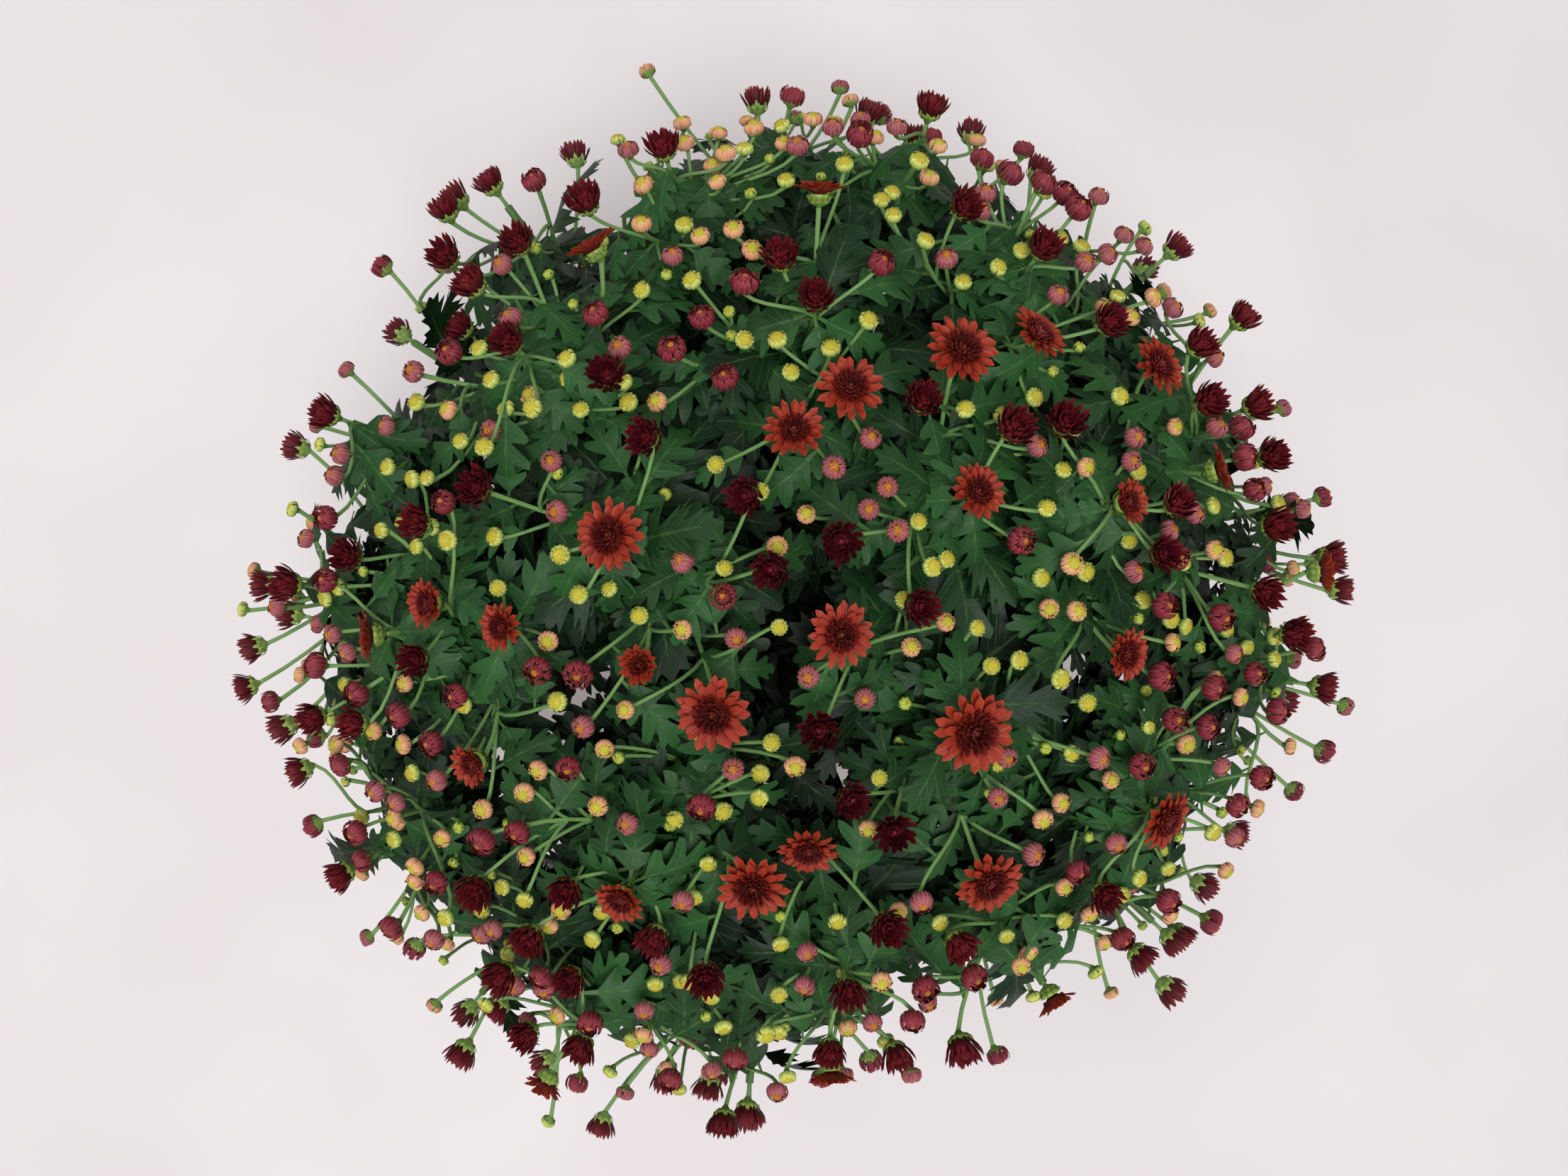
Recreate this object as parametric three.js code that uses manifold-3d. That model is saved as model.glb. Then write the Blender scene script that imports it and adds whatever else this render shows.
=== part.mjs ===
import * as THREE from "three";
import { mergeVertices } from "three/addons/utils/BufferGeometryUtils.js";
import Module from "manifold-3d";

// A potted cushion chrysanthemum in millimetres, +Z up. The pot's axis is Z and its base stands on Z = 0.

// Pot and soil
const POT_BASE_R = 84;
const POT_MOUTH_R = 113;
const POT_RIM_R = 120;
const POT_RIM_DEPTH = 22;
const POT_HEIGHT = 190;
const POT_WALL = 3;
const POT_FLOOR = 4;
const POT_SIDES = 28;
const DRAIN_HOLES = 4;
const DRAIN_HOLE_R = 6;
const DRAIN_CIRCLE_R = 58;
const SOIL_TOP = 172;
const STEM_DEPTH = 22;
const GAP = 0.3;

// The cushion: an oblate dome on which the flower heads stand
const CUSHION_R = 296;
const CUSHION_Z = 290;
const CUSHION_TOP = 168;
const CUSHION_UNDER = 105;
// Reach of the cushion every 30 degrees from +X, as a share of its radius
const REACH = [1.02, 0.98, 0.96, 0.955, 0.96, 0.98, 1.02, 1.03, 1.07, 0.98, 0.955, 1.02];

// Leafy stems
const STEMS = 28;
const STEM_STEPS = 5;
const STEM_SIDES = 5;
const STEM_FOOT_R = 3;
const STEM_TIP_R = 2.2;
const TIP_DEPTH = 14;
const BLOOM_PULL = 46;

// Flower heads by stage: green, yellow, peach, pink, maroon, dark half-open
const STAGE_SHARE = [0.08, 0.32, 0.46, 0.63, 0.82, 1];
const STAGE_ACROSS = [6.4, 8.4, 9.3, 10.4, 12.6, 16.5];
const STAGE_SINK = [20, 12, 8, 4, 0, -4];
const HEADS = 400;
const HEAD_STRIDE = 4;
const PEDICEL_R = 1.1;
const CUP_R = 4.6;

// Heads that stand out round the rim: azimuth in degrees and reach from the axis
const RIM_HEADS = [
  [0, 314], [3, 302], [10, 310], [14, 302], [21, 270], [29, 298], [34, 291], [39, 276],
  [46, 293], [53, 294], [60, 282], [69, 285], [75, 271], [80, 282], [85, 295], [90, 276],
  [95, 292], [100, 293], [106, 316], [111, 282], [117, 285], [124, 280], [131, 293], [137, 287],
  [142, 298], [151, 284], [161, 289], [172, 279], [178, 310], [182, 317], [186, 310], [190, 318],
  [195, 302], [200, 301], [206, 308], [212, 297], [219, 318], [224, 312], [229, 318], [237, 300],
  [245, 339], [250, 327], [255, 290], [260, 290], [265, 304], [273, 283], [279, 276], [288, 273],
  [296, 265], [302, 281], [308, 298], [313, 317], [318, 300], [324, 292], [331, 292], [338, 313],
  [343, 322], [348, 328], [352, 294], [356, 274],
];

// Open blooms: plan distance from the axis, azimuth and lean from upright in degrees, width across,
// petals in a layer, rise of the outer petals, depth below the cushion
const BLOOMS = [
  [26, 313, 8, 30, 9, 0.12, 0],
  [66, 235, 14, 34, 10, 0.1, 0],
  [87, 164, 16, 33, 9, 0.1, 0],
  [70, 92, 15, 28, 8, 0.35, 0],
  [92, 76, 16, 31, 9, 0.16, 0],
  [90, 29, 20, 27, 8, 0.3, 2],
  [98, 321, 16, 39, 10, 0.08, -2],
  [80, 205, 12, 22, 7, 0.8, 8],
  [130, 56, 22, 34, 10, 0.12, 0],
  [159, 47, 45, 30, 9, 0.2, 0],
  [200, 32, 38, 30, 9, 0.15, 0],
  [154, 15, 34, 24, 7, 0.6, 0],
  [207, 16, 66, 25, 7, 0.3, 0],
  [152, 349, 30, 26, 8, 0.3, 2],
  [204, 328, 42, 32, 9, 0.12, 0],
  [159, 303, 28, 32, 9, 0.12, 0],
  [239, 302, 70, 24, 8, 0.6, 0],
  [134, 261, 20, 33, 9, 0.12, -2],
  [122, 272, 36, 28, 8, 0.2, 14],
  [240, 274, 72, 26, 8, 0.4, 0],
  [162, 240, 36, 26, 7, 0.5, 0],
  [290, 243, 86, 24, 7, 0.5, 0],
  [169, 208, 36, 24, 7, 0.6, 0],
  [170, 182, 34, 25, 7, 0.5, 0],
  [203, 186, 68, 28, 8, 0.3, 0],
  [137, 187, 28, 24, 7, 0.35, 4],
  [186, 121, 70, 27, 8, 0.35, 0],
  [186, 87, 70, 27, 8, 0.35, 0],
  [268, 2, 84, 24, 7, 0.6, 0],
];

// Leaves: how far below the stem's tip each one grows, and its length
const LEAF_BACK = [14, 28, 44, 64, 88, 116, 165];
const LEAF_LENGTH = [44, 50, 56, 60, 62, 62, 58];
const LEAF_SKIRT = 18;
const LEAF_INNER = 8;
const LEAF_OUTLINE = [[0, 0.035], [0.3, 0.37], [0.44, 0.2], [0.68, 0.33]];
const LEAF_TURNS = [0, 1, -1, 2, -2];
const LEAF_RIB = 0.45;
const LEAF_HALF_THICK = 0.9;
const PETIOLE_HALF = 0.9;
// cubic millimetres that two pieces of one stem may share next to it
const ROOT_OVERLAP = 0.5;
const CLEARANCE = 0.4;

const GOLDEN_TURN = Math.PI * (3 - Math.sqrt(5));
const DEGREE = Math.PI / 180;
const UP = new THREE.Vector3(0, 0, 1);

const wasm = await Module();
wasm.setup();

// A repeatable series of numbers between 0 and 1.
function draws(seed) {
  let state = Math.imul(seed + 1, 2654435761) >>> 0;
  return () => {
    state = (Math.imul(state, 1664525) + 1013904223) >>> 0;
    return state / 4294967296;
  };
}

// A solid from points and triangles, turned to face out.
function solidFrom(points, faces) {
  const make = (triangles) =>
    new wasm.Manifold(
      new wasm.Mesh({
        numProp: 3,
        vertProperties: new Float32Array(points.flatMap((p) => [p.x, p.y, p.z])),
        triVerts: new Uint32Array(triangles.flat()),
      }),
    );
  const made = make(faces);
  return made.volume() < 0 ? make(faces.map(([a, b, c]) => [a, c, b])) : made;
}

// A three.js geometry as a solid, and a solid as a three.js geometry.
function solidOf(geometry) {
  const bare = geometry.clone();
  bare.deleteAttribute("normal");
  bare.deleteAttribute("uv");
  const merged = mergeVertices(bare, 1e-4);
  return new wasm.Manifold(
    new wasm.Mesh({
      numProp: 3,
      vertProperties: merged.attributes.position.array,
      triVerts: new Uint32Array(merged.index.array),
    }),
  );
}

function geometryOf(solid, origin) {
  const mesh = solid.getMesh();
  const position = new Float32Array(mesh.numVert * 3);
  for (let i = 0; i < mesh.numVert; i++) {
    position[i * 3] = mesh.vertProperties[i * mesh.numProp] - origin.x;
    position[i * 3 + 1] = mesh.vertProperties[i * mesh.numProp + 1] - origin.y;
    position[i * 3 + 2] = mesh.vertProperties[i * mesh.numProp + 2] - origin.z;
  }
  const geometry = new THREE.BufferGeometry();
  geometry.setAttribute("position", new THREE.BufferAttribute(position, 3));
  geometry.setIndex(new THREE.BufferAttribute(new Uint32Array(mesh.triVerts), 1));
  geometry.computeVertexNormals();
  return geometry;
}

// Two directions square to an axis, the first as near as it can be to a reference.
function squareTo(axis, reference) {
  const x = reference.clone().addScaledVector(axis, -reference.dot(axis)).normalize();
  return { x, y: axis.clone().cross(x) };
}

function ringOf(centre, axis, reference, radius, sides) {
  const { x, y } = squareTo(axis, reference);
  return Array.from({ length: sides }, (_, i) => {
    const a = (i / sides) * 2 * Math.PI;
    return centre
      .clone()
      .addScaledVector(x, radius * Math.cos(a))
      .addScaledVector(y, radius * Math.sin(a));
  });
}

// Rings joined in a row into one closed solid. A ring may have twice the points of the one before,
// and the far end closes on a point.
function loft(rings, endPoint) {
  const points = rings.flat();
  const faces = [];
  let start = 0;
  for (let i = 2; i < rings[0].length; i++) faces.push([0, i, i - 1]);
  rings.slice(1).forEach((ring, k) => {
    const near = rings[k].length;
    const far = ring.length;
    const next = start + near;
    for (let i = 0; i < near; i++) {
      const a = start + i;
      const b = start + ((i + 1) % near);
      if (far === near) {
        const c = next + i;
        const d = next + ((i + 1) % far);
        faces.push([a, b, d], [a, d, c]);
      } else {
        const c = next + 2 * i;
        const d = next + 2 * i + 1;
        const e = next + ((2 * i + 2) % far);
        faces.push([a, d, c], [a, b, d], [b, e, d]);
      }
    }
    start = next;
  });
  const last = rings[rings.length - 1].length;
  points.push(endPoint);
  for (let i = 0; i < last; i++) {
    faces.push([start + i, start + ((i + 1) % last), points.length - 1]);
  }
  return solidFrom(points, faces);
}

// The cushion's surface
function reachAt(azimuth) {
  const turn = ((azimuth / (2 * Math.PI)) * 12 + 1200) % 12;
  const low = Math.floor(turn);
  return REACH[low] + (REACH[(low + 1) % 12] - REACH[low]) * (turn - low);
}

function cushionR(polar, azimuth) {
  return CUSHION_R * (1 + (reachAt(azimuth) - 1) * Math.sin(polar) ** 2);
}

function onCushion(polar, azimuth, depth) {
  const r = cushionR(polar, azimuth);
  const rise = polar < Math.PI / 2 ? CUSHION_TOP : CUSHION_UNDER;
  const out = new THREE.Vector3(Math.cos(azimuth), Math.sin(azimuth), 0);
  const point = out.clone().multiplyScalar(r * Math.sin(polar));
  point.z = CUSHION_Z + rise * Math.cos(polar);
  const normal = out.multiplyScalar(Math.sin(polar) / r);
  normal.z = Math.cos(polar) / rise;
  normal.normalize();
  return { point: point.addScaledVector(normal, -depth), normal };
}

// Share of the surface above each degree of the polar angle
const areaAbove = [0];
for (let i = 1; i <= 105; i++) {
  const polar = (i - 0.5) * DEGREE;
  const rise = polar < Math.PI / 2 ? CUSHION_TOP : CUSHION_UNDER;
  const slope = Math.hypot(CUSHION_R * Math.cos(polar), rise * Math.sin(polar));
  areaAbove.push(areaAbove[i - 1] + Math.sin(polar) * slope);
}

function polarAt(share) {
  const wanted = share * areaAbove[105];
  let i = 1;
  while (i < 105 && areaAbove[i] < wanted) i++;
  return (i - 1 + (wanted - areaAbove[i - 1]) / (areaAbove[i] - areaAbove[i - 1])) * DEGREE;
}

function shareAt(polar) {
  const degrees = Math.min(polar / DEGREE, 104.99);
  const i = Math.floor(degrees);
  return (areaAbove[i] + (areaAbove[i + 1] - areaAbove[i]) * (degrees - i)) / areaAbove[105];
}

function polarOfReach(reach, azimuth) {
  let polar = Math.asin(Math.min(reach / CUSHION_R, 1));
  for (let i = 0; i < 4; i++) polar = Math.asin(Math.min(reach / cushionR(polar, azimuth), 1));
  return polar;
}

// Open blooms
const blooms = BLOOMS.map(([reach, turn, lean, across, petals, rise, depth], i) => {
  const azimuth = turn * DEGREE;
  const polar = polarOfReach(reach, azimuth);
  const { point } = onCushion(polar, azimuth, depth);
  const axis = new THREE.Vector3(
    Math.sin(lean * DEGREE) * Math.cos(azimuth),
    Math.sin(lean * DEGREE) * Math.sin(azimuth),
    Math.cos(lean * DEGREE),
  );
  return { index: i, polar, azimuth, point, axis, across, petals, rise };
});

// Stem tips, spread evenly over the cushion and drawn to a bloom where one is near
const stems = Array.from({ length: STEMS }, (_, i) => {
  const azimuth = i * GOLDEN_TURN + 0.6;
  const polar = polarAt((i + 0.5) / STEMS);
  return { index: i, polar, azimuth, bloom: null };
});
blooms.forEach((bloom) => {
  let best = null;
  let bestGap = BLOOM_PULL;
  stems.forEach((stem) => {
    if (stem.bloom) return;
    const gap = onCushion(stem.polar, stem.azimuth, 0).point.distanceTo(bloom.point);
    if (gap < bestGap) {
      bestGap = gap;
      best = stem;
    }
  });
  if (!best) return;
  best.bloom = bloom;
  best.polar = bloom.polar;
  best.azimuth = bloom.azimuth;
});

// Each stem curves in its own upright plane from the soil to its tip.
stems.forEach((stem) => {
  const share = shareAt(stem.polar);
  const out = new THREE.Vector3(Math.cos(stem.azimuth), Math.sin(stem.azimuth), 0);
  const { point, normal } = onCushion(stem.polar, stem.azimuth, TIP_DEPTH);
  const lean = 0.05 + 0.5 * share;
  const foot = out.clone().multiplyScalar(8 + 60 * share ** 0.6);
  foot.z = SOIL_TOP - STEM_DEPTH;
  const leaving = foot.clone().addScaledVector(out, Math.sin(lean) * 80);
  leaving.z += Math.cos(lean) * 80;
  const tip = stem.bloom ? stem.bloom.point.clone() : point;
  const facing = stem.bloom ? stem.bloom.axis.clone().add(normal).normalize() : normal;
  if (stem.bloom) tip.addScaledVector(stem.bloom.axis, -6);
  const arriving = tip.clone().addScaledVector(facing, -90);
  const curve = new THREE.CubicBezierCurve3(foot, leaving, arriving, tip);
  stem.path = Array.from({ length: STEM_STEPS + 1 }, (_, k) => curve.getPoint(k / STEM_STEPS));
  stem.side = new THREE.Vector3(-out.y, out.x, 0);
  stem.normal = normal;
  stem.tip = tip;
  stem.facing = facing;
});

// A point on a stem at a distance below its tip, with the stem's direction there
function alongStem(stem, back) {
  let left = back;
  for (let i = stem.path.length - 1; i > 0; i--) {
    const span = stem.path[i].distanceTo(stem.path[i - 1]);
    const direction = stem.path[i].clone().sub(stem.path[i - 1]).normalize();
    if (left <= span || i === 1) {
      return { point: stem.path[i].clone().addScaledVector(direction, -left), direction };
    }
    left -= span;
  }
  return null;
}

function nearestStem(point) {
  return stems.reduce((a, b) => (b.tip.distanceTo(point) < a.tip.distanceTo(point) ? b : a));
}

// Flower heads that are not open yet
function stageOf(draw) {
  return STAGE_SHARE.findIndex((limit) => draw <= limit);
}

function headFrom(polar, azimuth, draw, extra) {
  const stage = Math.min(5, stageOf(draw()) + extra);
  const depth = STAGE_SINK[stage] + (draw() - 0.5) * 10;
  const { point, normal } = onCushion(polar, azimuth, depth);
  const axis = normal.clone();
  axis.x += (draw() - 0.5) * 0.5;
  axis.y += (draw() - 0.5) * 0.5;
  axis.z += (draw() - 0.5) * 0.5;
  axis.normalize();
  return { stage, point, axis, across: STAGE_ACROSS[stage] * (0.92 + 0.16 * draw()) };
}

const heads = [];
RIM_HEADS.forEach(([turn, reach], i) => {
  const draw = draws(700 + i);
  const azimuth = turn * DEGREE;
  const polar = (84 + 10 * draw()) * DEGREE;
  const head = headFrom(polar, azimuth, draw, 1);
  const flat = Math.hypot(head.point.x, head.point.y);
  head.point.x *= reach / flat;
  head.point.y *= reach / flat;
  head.spare = i % 2 === 1 && reach <= 312;
  heads.push(head);
});
stems.forEach((stem, i) => {
  if (stem.bloom) return;
  const head = headFrom(stem.polar, stem.azimuth, draws(900 + i), 0);
  head.stage = 5;
  head.across = STAGE_ACROSS[5];
  head.point = stem.tip.clone().addScaledVector(stem.facing, TIP_DEPTH);
  head.axis = stem.facing.clone();
  head.stem = stem;
  heads.push(head);
});
for (let i = 0; i < HEADS; i++) {
  const draw = draws(1000 + i);
  const polar = polarAt((i + 0.5) / HEADS) + (draw() - 0.5) * 0.07;
  const azimuth = i * GOLDEN_TURN + ((draw() - 0.5) * 0.07) / Math.max(Math.sin(polar), 0.1);
  const head = headFrom(Math.abs(polar), azimuth, draw, 0);
  const crowded = (other) =>
    other.point.distanceTo(head.point) < (other.across + head.across) / 2 + 9;
  if (blooms.some(crowded) || heads.some(crowded)) continue;
  head.spare = i % HEAD_STRIDE !== 0;
  heads.push(head);
}

// Where the pedicel of a head or bloom leaves the stem whose tip is nearest
function rootOf(point, seed, own) {
  const stem = own || nearestStem(point);
  const aside = stem.tip.distanceTo(point);
  const back = own ? 2 : 10 + 0.62 * aside + 10 * draws(seed)();
  return { stem, ...alongStem(stem, back) };
}

// Everything placed so far. A piece is clear when it meets nothing of another node,
// and nothing of its own but the bare stem and what starts beside it.
const placed = [];

function place(node, solid, isTrunk) {
  placed.push({ node, solid, isTrunk, box: solid.boundingBox() });
}

function isClear(node, trial) {
  const box = trial.boundingBox();
  return placed.every((other) => {
    for (let i = 0; i < 3; i++) {
      if (box.min[i] > other.box.max[i] || box.max[i] < other.box.min[i]) return true;
    }
    if (other.node === node && other.isTrunk) return true;
    const common = trial.intersect(other.solid).volume();
    return other.node === node ? common <= ROOT_OVERLAP : common === 0;
  });
}

// Pot
function potSolid() {
  const inner = POT_MOUTH_R - POT_WALL;
  const baseInner = POT_BASE_R - POT_WALL + 1;
  const shelf = POT_HEIGHT - POT_RIM_DEPTH;
  const profile = [
    [0, 0], [POT_BASE_R, 0], [POT_MOUTH_R - 1, shelf], [POT_RIM_R - 1, shelf + 1],
    [POT_RIM_R, POT_HEIGHT - 3], [POT_RIM_R - 2, POT_HEIGHT], [POT_RIM_R - 5, POT_HEIGHT - 1],
    [inner - 1, shelf], [baseInner, POT_FLOOR], [0, POT_FLOOR],
  ];
  let pot = solidOf(lathe(profile));
  for (let i = 0; i < DRAIN_HOLES; i++) {
    const a = (i / DRAIN_HOLES) * 2 * Math.PI;
    const hole = new THREE.CylinderGeometry(DRAIN_HOLE_R, DRAIN_HOLE_R, 4 * POT_FLOOR, 8);
    hole.rotateX(Math.PI / 2);
    hole.translate(DRAIN_CIRCLE_R * Math.cos(a), DRAIN_CIRCLE_R * Math.sin(a), 0);
    pot = pot.subtract(solidOf(hole));
  }
  return pot;
}

function lathe(profile) {
  const geometry = new THREE.LatheGeometry(
    profile.map(([r, z]) => new THREE.Vector2(r, z)),
    POT_SIDES,
  );
  geometry.rotateX(Math.PI / 2);
  return geometry;
}

// Soil, with a plain hole for each stem
function soilSolid() {
  const shelf = POT_HEIGHT - POT_RIM_DEPTH;
  const floor = POT_FLOOR + GAP;
  const inner = POT_MOUTH_R - POT_WALL - 1 - 1.4 * GAP;
  const baseInner = POT_BASE_R - POT_WALL + 1 - 1.2 * GAP;
  const profile = [
    [0, floor], [baseInner, floor], [inner, shelf], [inner - 3, SOIL_TOP], [0, SOIL_TOP],
  ];
  let soil = solidOf(lathe(profile));
  stems.forEach((stem) => {
    soil = soil.subtract(trunkOf(stem, GAP));
  });
  return soil;
}

// Bare stem, or the hole it stands in when a gap is given
function trunkOf(stem, gap) {
  const count = gap ? 2 : stem.path.length;
  const rings = stem.path.slice(0, count).map((point, i) => {
    const before = stem.path[Math.max(i - 1, 0)];
    const after = stem.path[Math.min(i + 1, stem.path.length - 1)];
    const direction = after.clone().sub(before).normalize();
    const share = i / STEM_STEPS;
    const radius = STEM_FOOT_R + (STEM_TIP_R - STEM_FOOT_R) * share + gap * 1.5;
    const start = i === 0 ? point.clone().addScaledVector(direction, -gap) : point;
    return ringOf(start, direction, stem.side, radius, STEM_SIDES);
  });
  const end = stem.path[count - 1].clone();
  if (!gap) end.addScaledVector(stem.facing, 0.5);
  return loft(rings, end);
}

// A pedicel with its head, a bud or a half-open cup, swollen all round by some clearance
function headSolid(root, head, swell) {
  const half = head.across / 2 + swell;
  const neck = head.point.clone().addScaledVector(head.axis, -0.75 * half - 1);
  const run = neck.clone().sub(root).normalize();
  const reference = squareTo(run, UP).x;
  const belly = head.point.clone().addScaledVector(head.axis, -0.1 * half);
  const rings = [
    ringOf(root, run, reference, PEDICEL_R + swell, 3),
    ringOf(neck, run, reference, PEDICEL_R + swell, 3),
  ];
  if (head.stage < 5) {
    rings.push(ringOf(belly, head.axis, reference, half, 6));
    return loft(rings, head.point.clone().addScaledVector(head.axis, 0.75 * half));
  }
  const crown = head.point.clone().addScaledVector(head.axis, 0.7 * half);
  rings.push(ringOf(crown, head.axis, reference, half, 6));
  return loft(rings, head.point.clone().addScaledVector(head.axis, 0.25 * half));
}

// The pedicel and hollow cup that an open bloom sits on
function cupSolid(root, bloom) {
  const { point, axis } = bloom;
  const neck = point.clone().addScaledVector(axis, -5);
  const run = neck.clone().sub(root).normalize();
  const reference = squareTo(run, UP).x;
  return loft(
    [
      ringOf(root, run, reference, PEDICEL_R + 0.2, 3),
      ringOf(neck, run, reference, PEDICEL_R + 0.2, 3),
      ringOf(point.clone().addScaledVector(axis, 1.05), axis, reference, CUP_R, 6),
    ],
    point.clone().addScaledVector(axis, -0.35),
  );
}

// An open bloom in two layers of petals that share one body. Its foot is at the origin.
function bloomSurface(bloom) {
  const { petals, rise } = bloom;
  const r = bloom.across / 2;
  const step = (2 * Math.PI) / petals;
  const points = [];
  const at = (radius, angle, z) => {
    points.push(new THREE.Vector3(radius * Math.cos(angle), radius * Math.sin(angle), z));
    return points.length - 1;
  };
  const foot = at(0, 0, 0);
  const base = 0.12 * r;
  const inner = [];
  const outer = [];
  for (let i = 0; i < petals; i++) {
    const a = i * step;
    const sway = 1 + 0.06 * Math.sin(2.4 * i + bloom.index);
    const far = r * sway;
    outer.push({
      gap: at(0.3 * r, a + step / 2, base),
      right: at(0.86 * far, a - 0.37 * step, base + rise * 0.76 * far),
      tip: at(far, a, base + rise * far - 0.4),
      left: at(0.86 * far, a + 0.37 * step, base + rise * 0.76 * far),
      back: at(0.58 * r, a, base + rise * 0.45 * r + 1.6),
    });
  }
  const lift = Math.min(0.75 + rise * 0.8, 1.5);
  const spread = 1 - 0.22 * rise;
  for (let i = 0; i < petals; i++) {
    const a = (i + 0.5) * step;
    const near = 0.2 * r;
    const waist = base + 0.15 * r;
    inner.push({
      gap: at(near, i * step, waist),
      right: at(0.58 * spread * r, a - 0.36 * step, waist + lift * 0.33 * r),
      tip: at(0.68 * spread * r, a, waist + lift * 0.42 * r),
      left: at(0.58 * spread * r, a + 0.36 * step, waist + lift * 0.33 * r),
      back: at(0.4 * spread * r, a, waist + lift * 0.2 * r + 1.6),
    });
  }
  const centre = at(0, 0, base + 0.24 * r);
  const faces = [];
  for (let i = 0; i < petals; i++) {
    const next = (i + 1) % petals;
    const o = outer[i];
    const before = outer[(i + petals - 1) % petals];
    faces.push([foot, o.gap, before.gap], [before.gap, o.gap, o.left]);
    faces.push([before.gap, o.left, o.right], [o.right, o.left, o.tip]);
    faces.push([before.gap, o.right, o.back], [o.right, o.tip, o.back]);
    faces.push([o.tip, o.left, o.back], [o.left, o.gap, o.back]);
    const w = inner[i];
    const v = inner[next];
    faces.push([before.gap, o.back, w.gap], [o.back, o.gap, w.gap], [w.gap, o.gap, v.gap]);
    faces.push([w.gap, v.gap, w.left], [w.gap, w.left, w.right], [w.right, w.left, w.tip]);
    faces.push([w.gap, w.right, w.back], [w.right, w.tip, w.back]);
    faces.push([w.tip, w.left, w.back], [w.left, v.gap, w.back]);
    faces.push([w.gap, w.back, centre], [w.back, v.gap, centre]);
  }
  return { points, faces };
}

// A lobed leaf: a thin arched blade with five lobes, folded along its rib, on a short stalk
function leafSolid(leaf, swell) {
  const { root, direction, face, length } = leaf;
  const y = face.clone().cross(direction).normalize();
  const z = direction.clone().cross(y);
  const size = length + 2 * swell;
  const at = (along, aside, up) => {
    const arch = 0.1 * Math.sin(Math.max(along, 0) * 2.6) - 0.16 * Math.max(along, 0) ** 2;
    return root
      .clone()
      .addScaledVector(direction, (along + 0.2) * size)
      .addScaledVector(y, aside * size)
      .addScaledVector(z, (arch - 0.22 * Math.abs(aside)) * size + up);
  };
  const thick = LEAF_HALF_THICK + swell;
  const points = [at(-0.2, 0, PETIOLE_HALF + swell), at(-0.2, 0, -PETIOLE_HALF - swell)];
  points.push(at(LEAF_RIB, 0, thick), at(LEAF_RIB, 0, -thick));
  const tip = points.push(at(1, 0, 0)) - 1;
  const faces = [];
  const flanks = [-1, 1].map((side) =>
    LEAF_OUTLINE.map(([x, w]) => points.push(at(x, side * w, 0)) - 1),
  );
  flanks.forEach(([stalk, low, notch, high], side) => {
    [0, 1].forEach((under) => {
      const [foot, rib] = [under, 2 + under];
      const half = [
        [foot, stalk, rib], [stalk, low, rib], [low, notch, rib], [notch, high, rib],
        [high, tip, rib],
      ];
      half.forEach(([a, b, c]) => faces.push(under === side ? [a, c, b] : [a, b, c]));
    });
    faces.push(side ? [0, 1, stalk] : [1, 0, stalk]);
  });
  return solidFrom(points, faces);
}

const root = new THREE.Group();
root.name = "potted_chrysanthemum";
const COLOURS = {
  pot: { color: 0x9c5a3c, roughness: 0.75, metalness: 0 },
  soil: { color: 0x3a2a1e, roughness: 1, metalness: 0 },
  leaf: { color: 0x35602f, roughness: 0.6, metalness: 0 },
  bloom: { color: 0xa63a26, roughness: 0.65, metalness: 0 },
};

function addMesh(name, geometry, colour, position) {
  const mesh = new THREE.Mesh(geometry, new THREE.MeshStandardMaterial(COLOURS[colour]));
  mesh.name = name;
  mesh.position.copy(position);
  root.add(mesh);
  return mesh;
}

function nameOf(word, index) {
  return `${word}_${String(index + 1).padStart(2, "0")}`;
}

const axisFoot = new THREE.Vector3();
[["pot", potSolid()], ["soil", soilSolid()]].forEach(([name, solid]) => {
  place(name, solid, false);
  addMesh(name, geometryOf(solid, axisFoot), name, axisFoot);
});

// Bare stems first, then blooms on their cups, then heads, then leaves where they are clear
stems.forEach((stem) => {
  const trunk = trunkOf(stem, 0);
  stem.name = nameOf("leafy_stem", stem.index);
  stem.pieces = [trunk];
  place(stem.name, trunk, true);
});

function addPiece(stem, solid) {
  stem.pieces.push(solid);
  place(stem.name, solid, false);
}

blooms.forEach((bloom) => {
  const name = nameOf("bloom", bloom.index);
  const { points, faces } = bloomSurface(bloom);
  const { x, y } = squareTo(bloom.axis, UP);
  const frame = new THREE.Matrix4().makeBasis(x, y, bloom.axis).setPosition(bloom.point);
  place(name, solidFrom(points.map((p) => p.clone().applyMatrix4(frame)), faces), false);
  const mesh = addMesh(name, geometryOf(solidFrom(points, faces), axisFoot), "bloom", bloom.point);
  mesh.quaternion.setFromRotationMatrix(frame);
});
blooms.forEach((bloom) => {
  const own = stems.find((stem) => stem.bloom === bloom);
  const { stem, point } = rootOf(bloom.point, 400 + bloom.index, own);
  addPiece(stem, cupSolid(point, bloom));
});

heads.forEach((head, i) => {
  if (head.spare) return;
  const { stem, point } = rootOf(head.point, 3000 + i, head.stem);
  if (isClear(stem.name, headSolid(point, head, CLEARANCE))) {
    addPiece(stem, headSolid(point, head, 0));
  }
});

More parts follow.
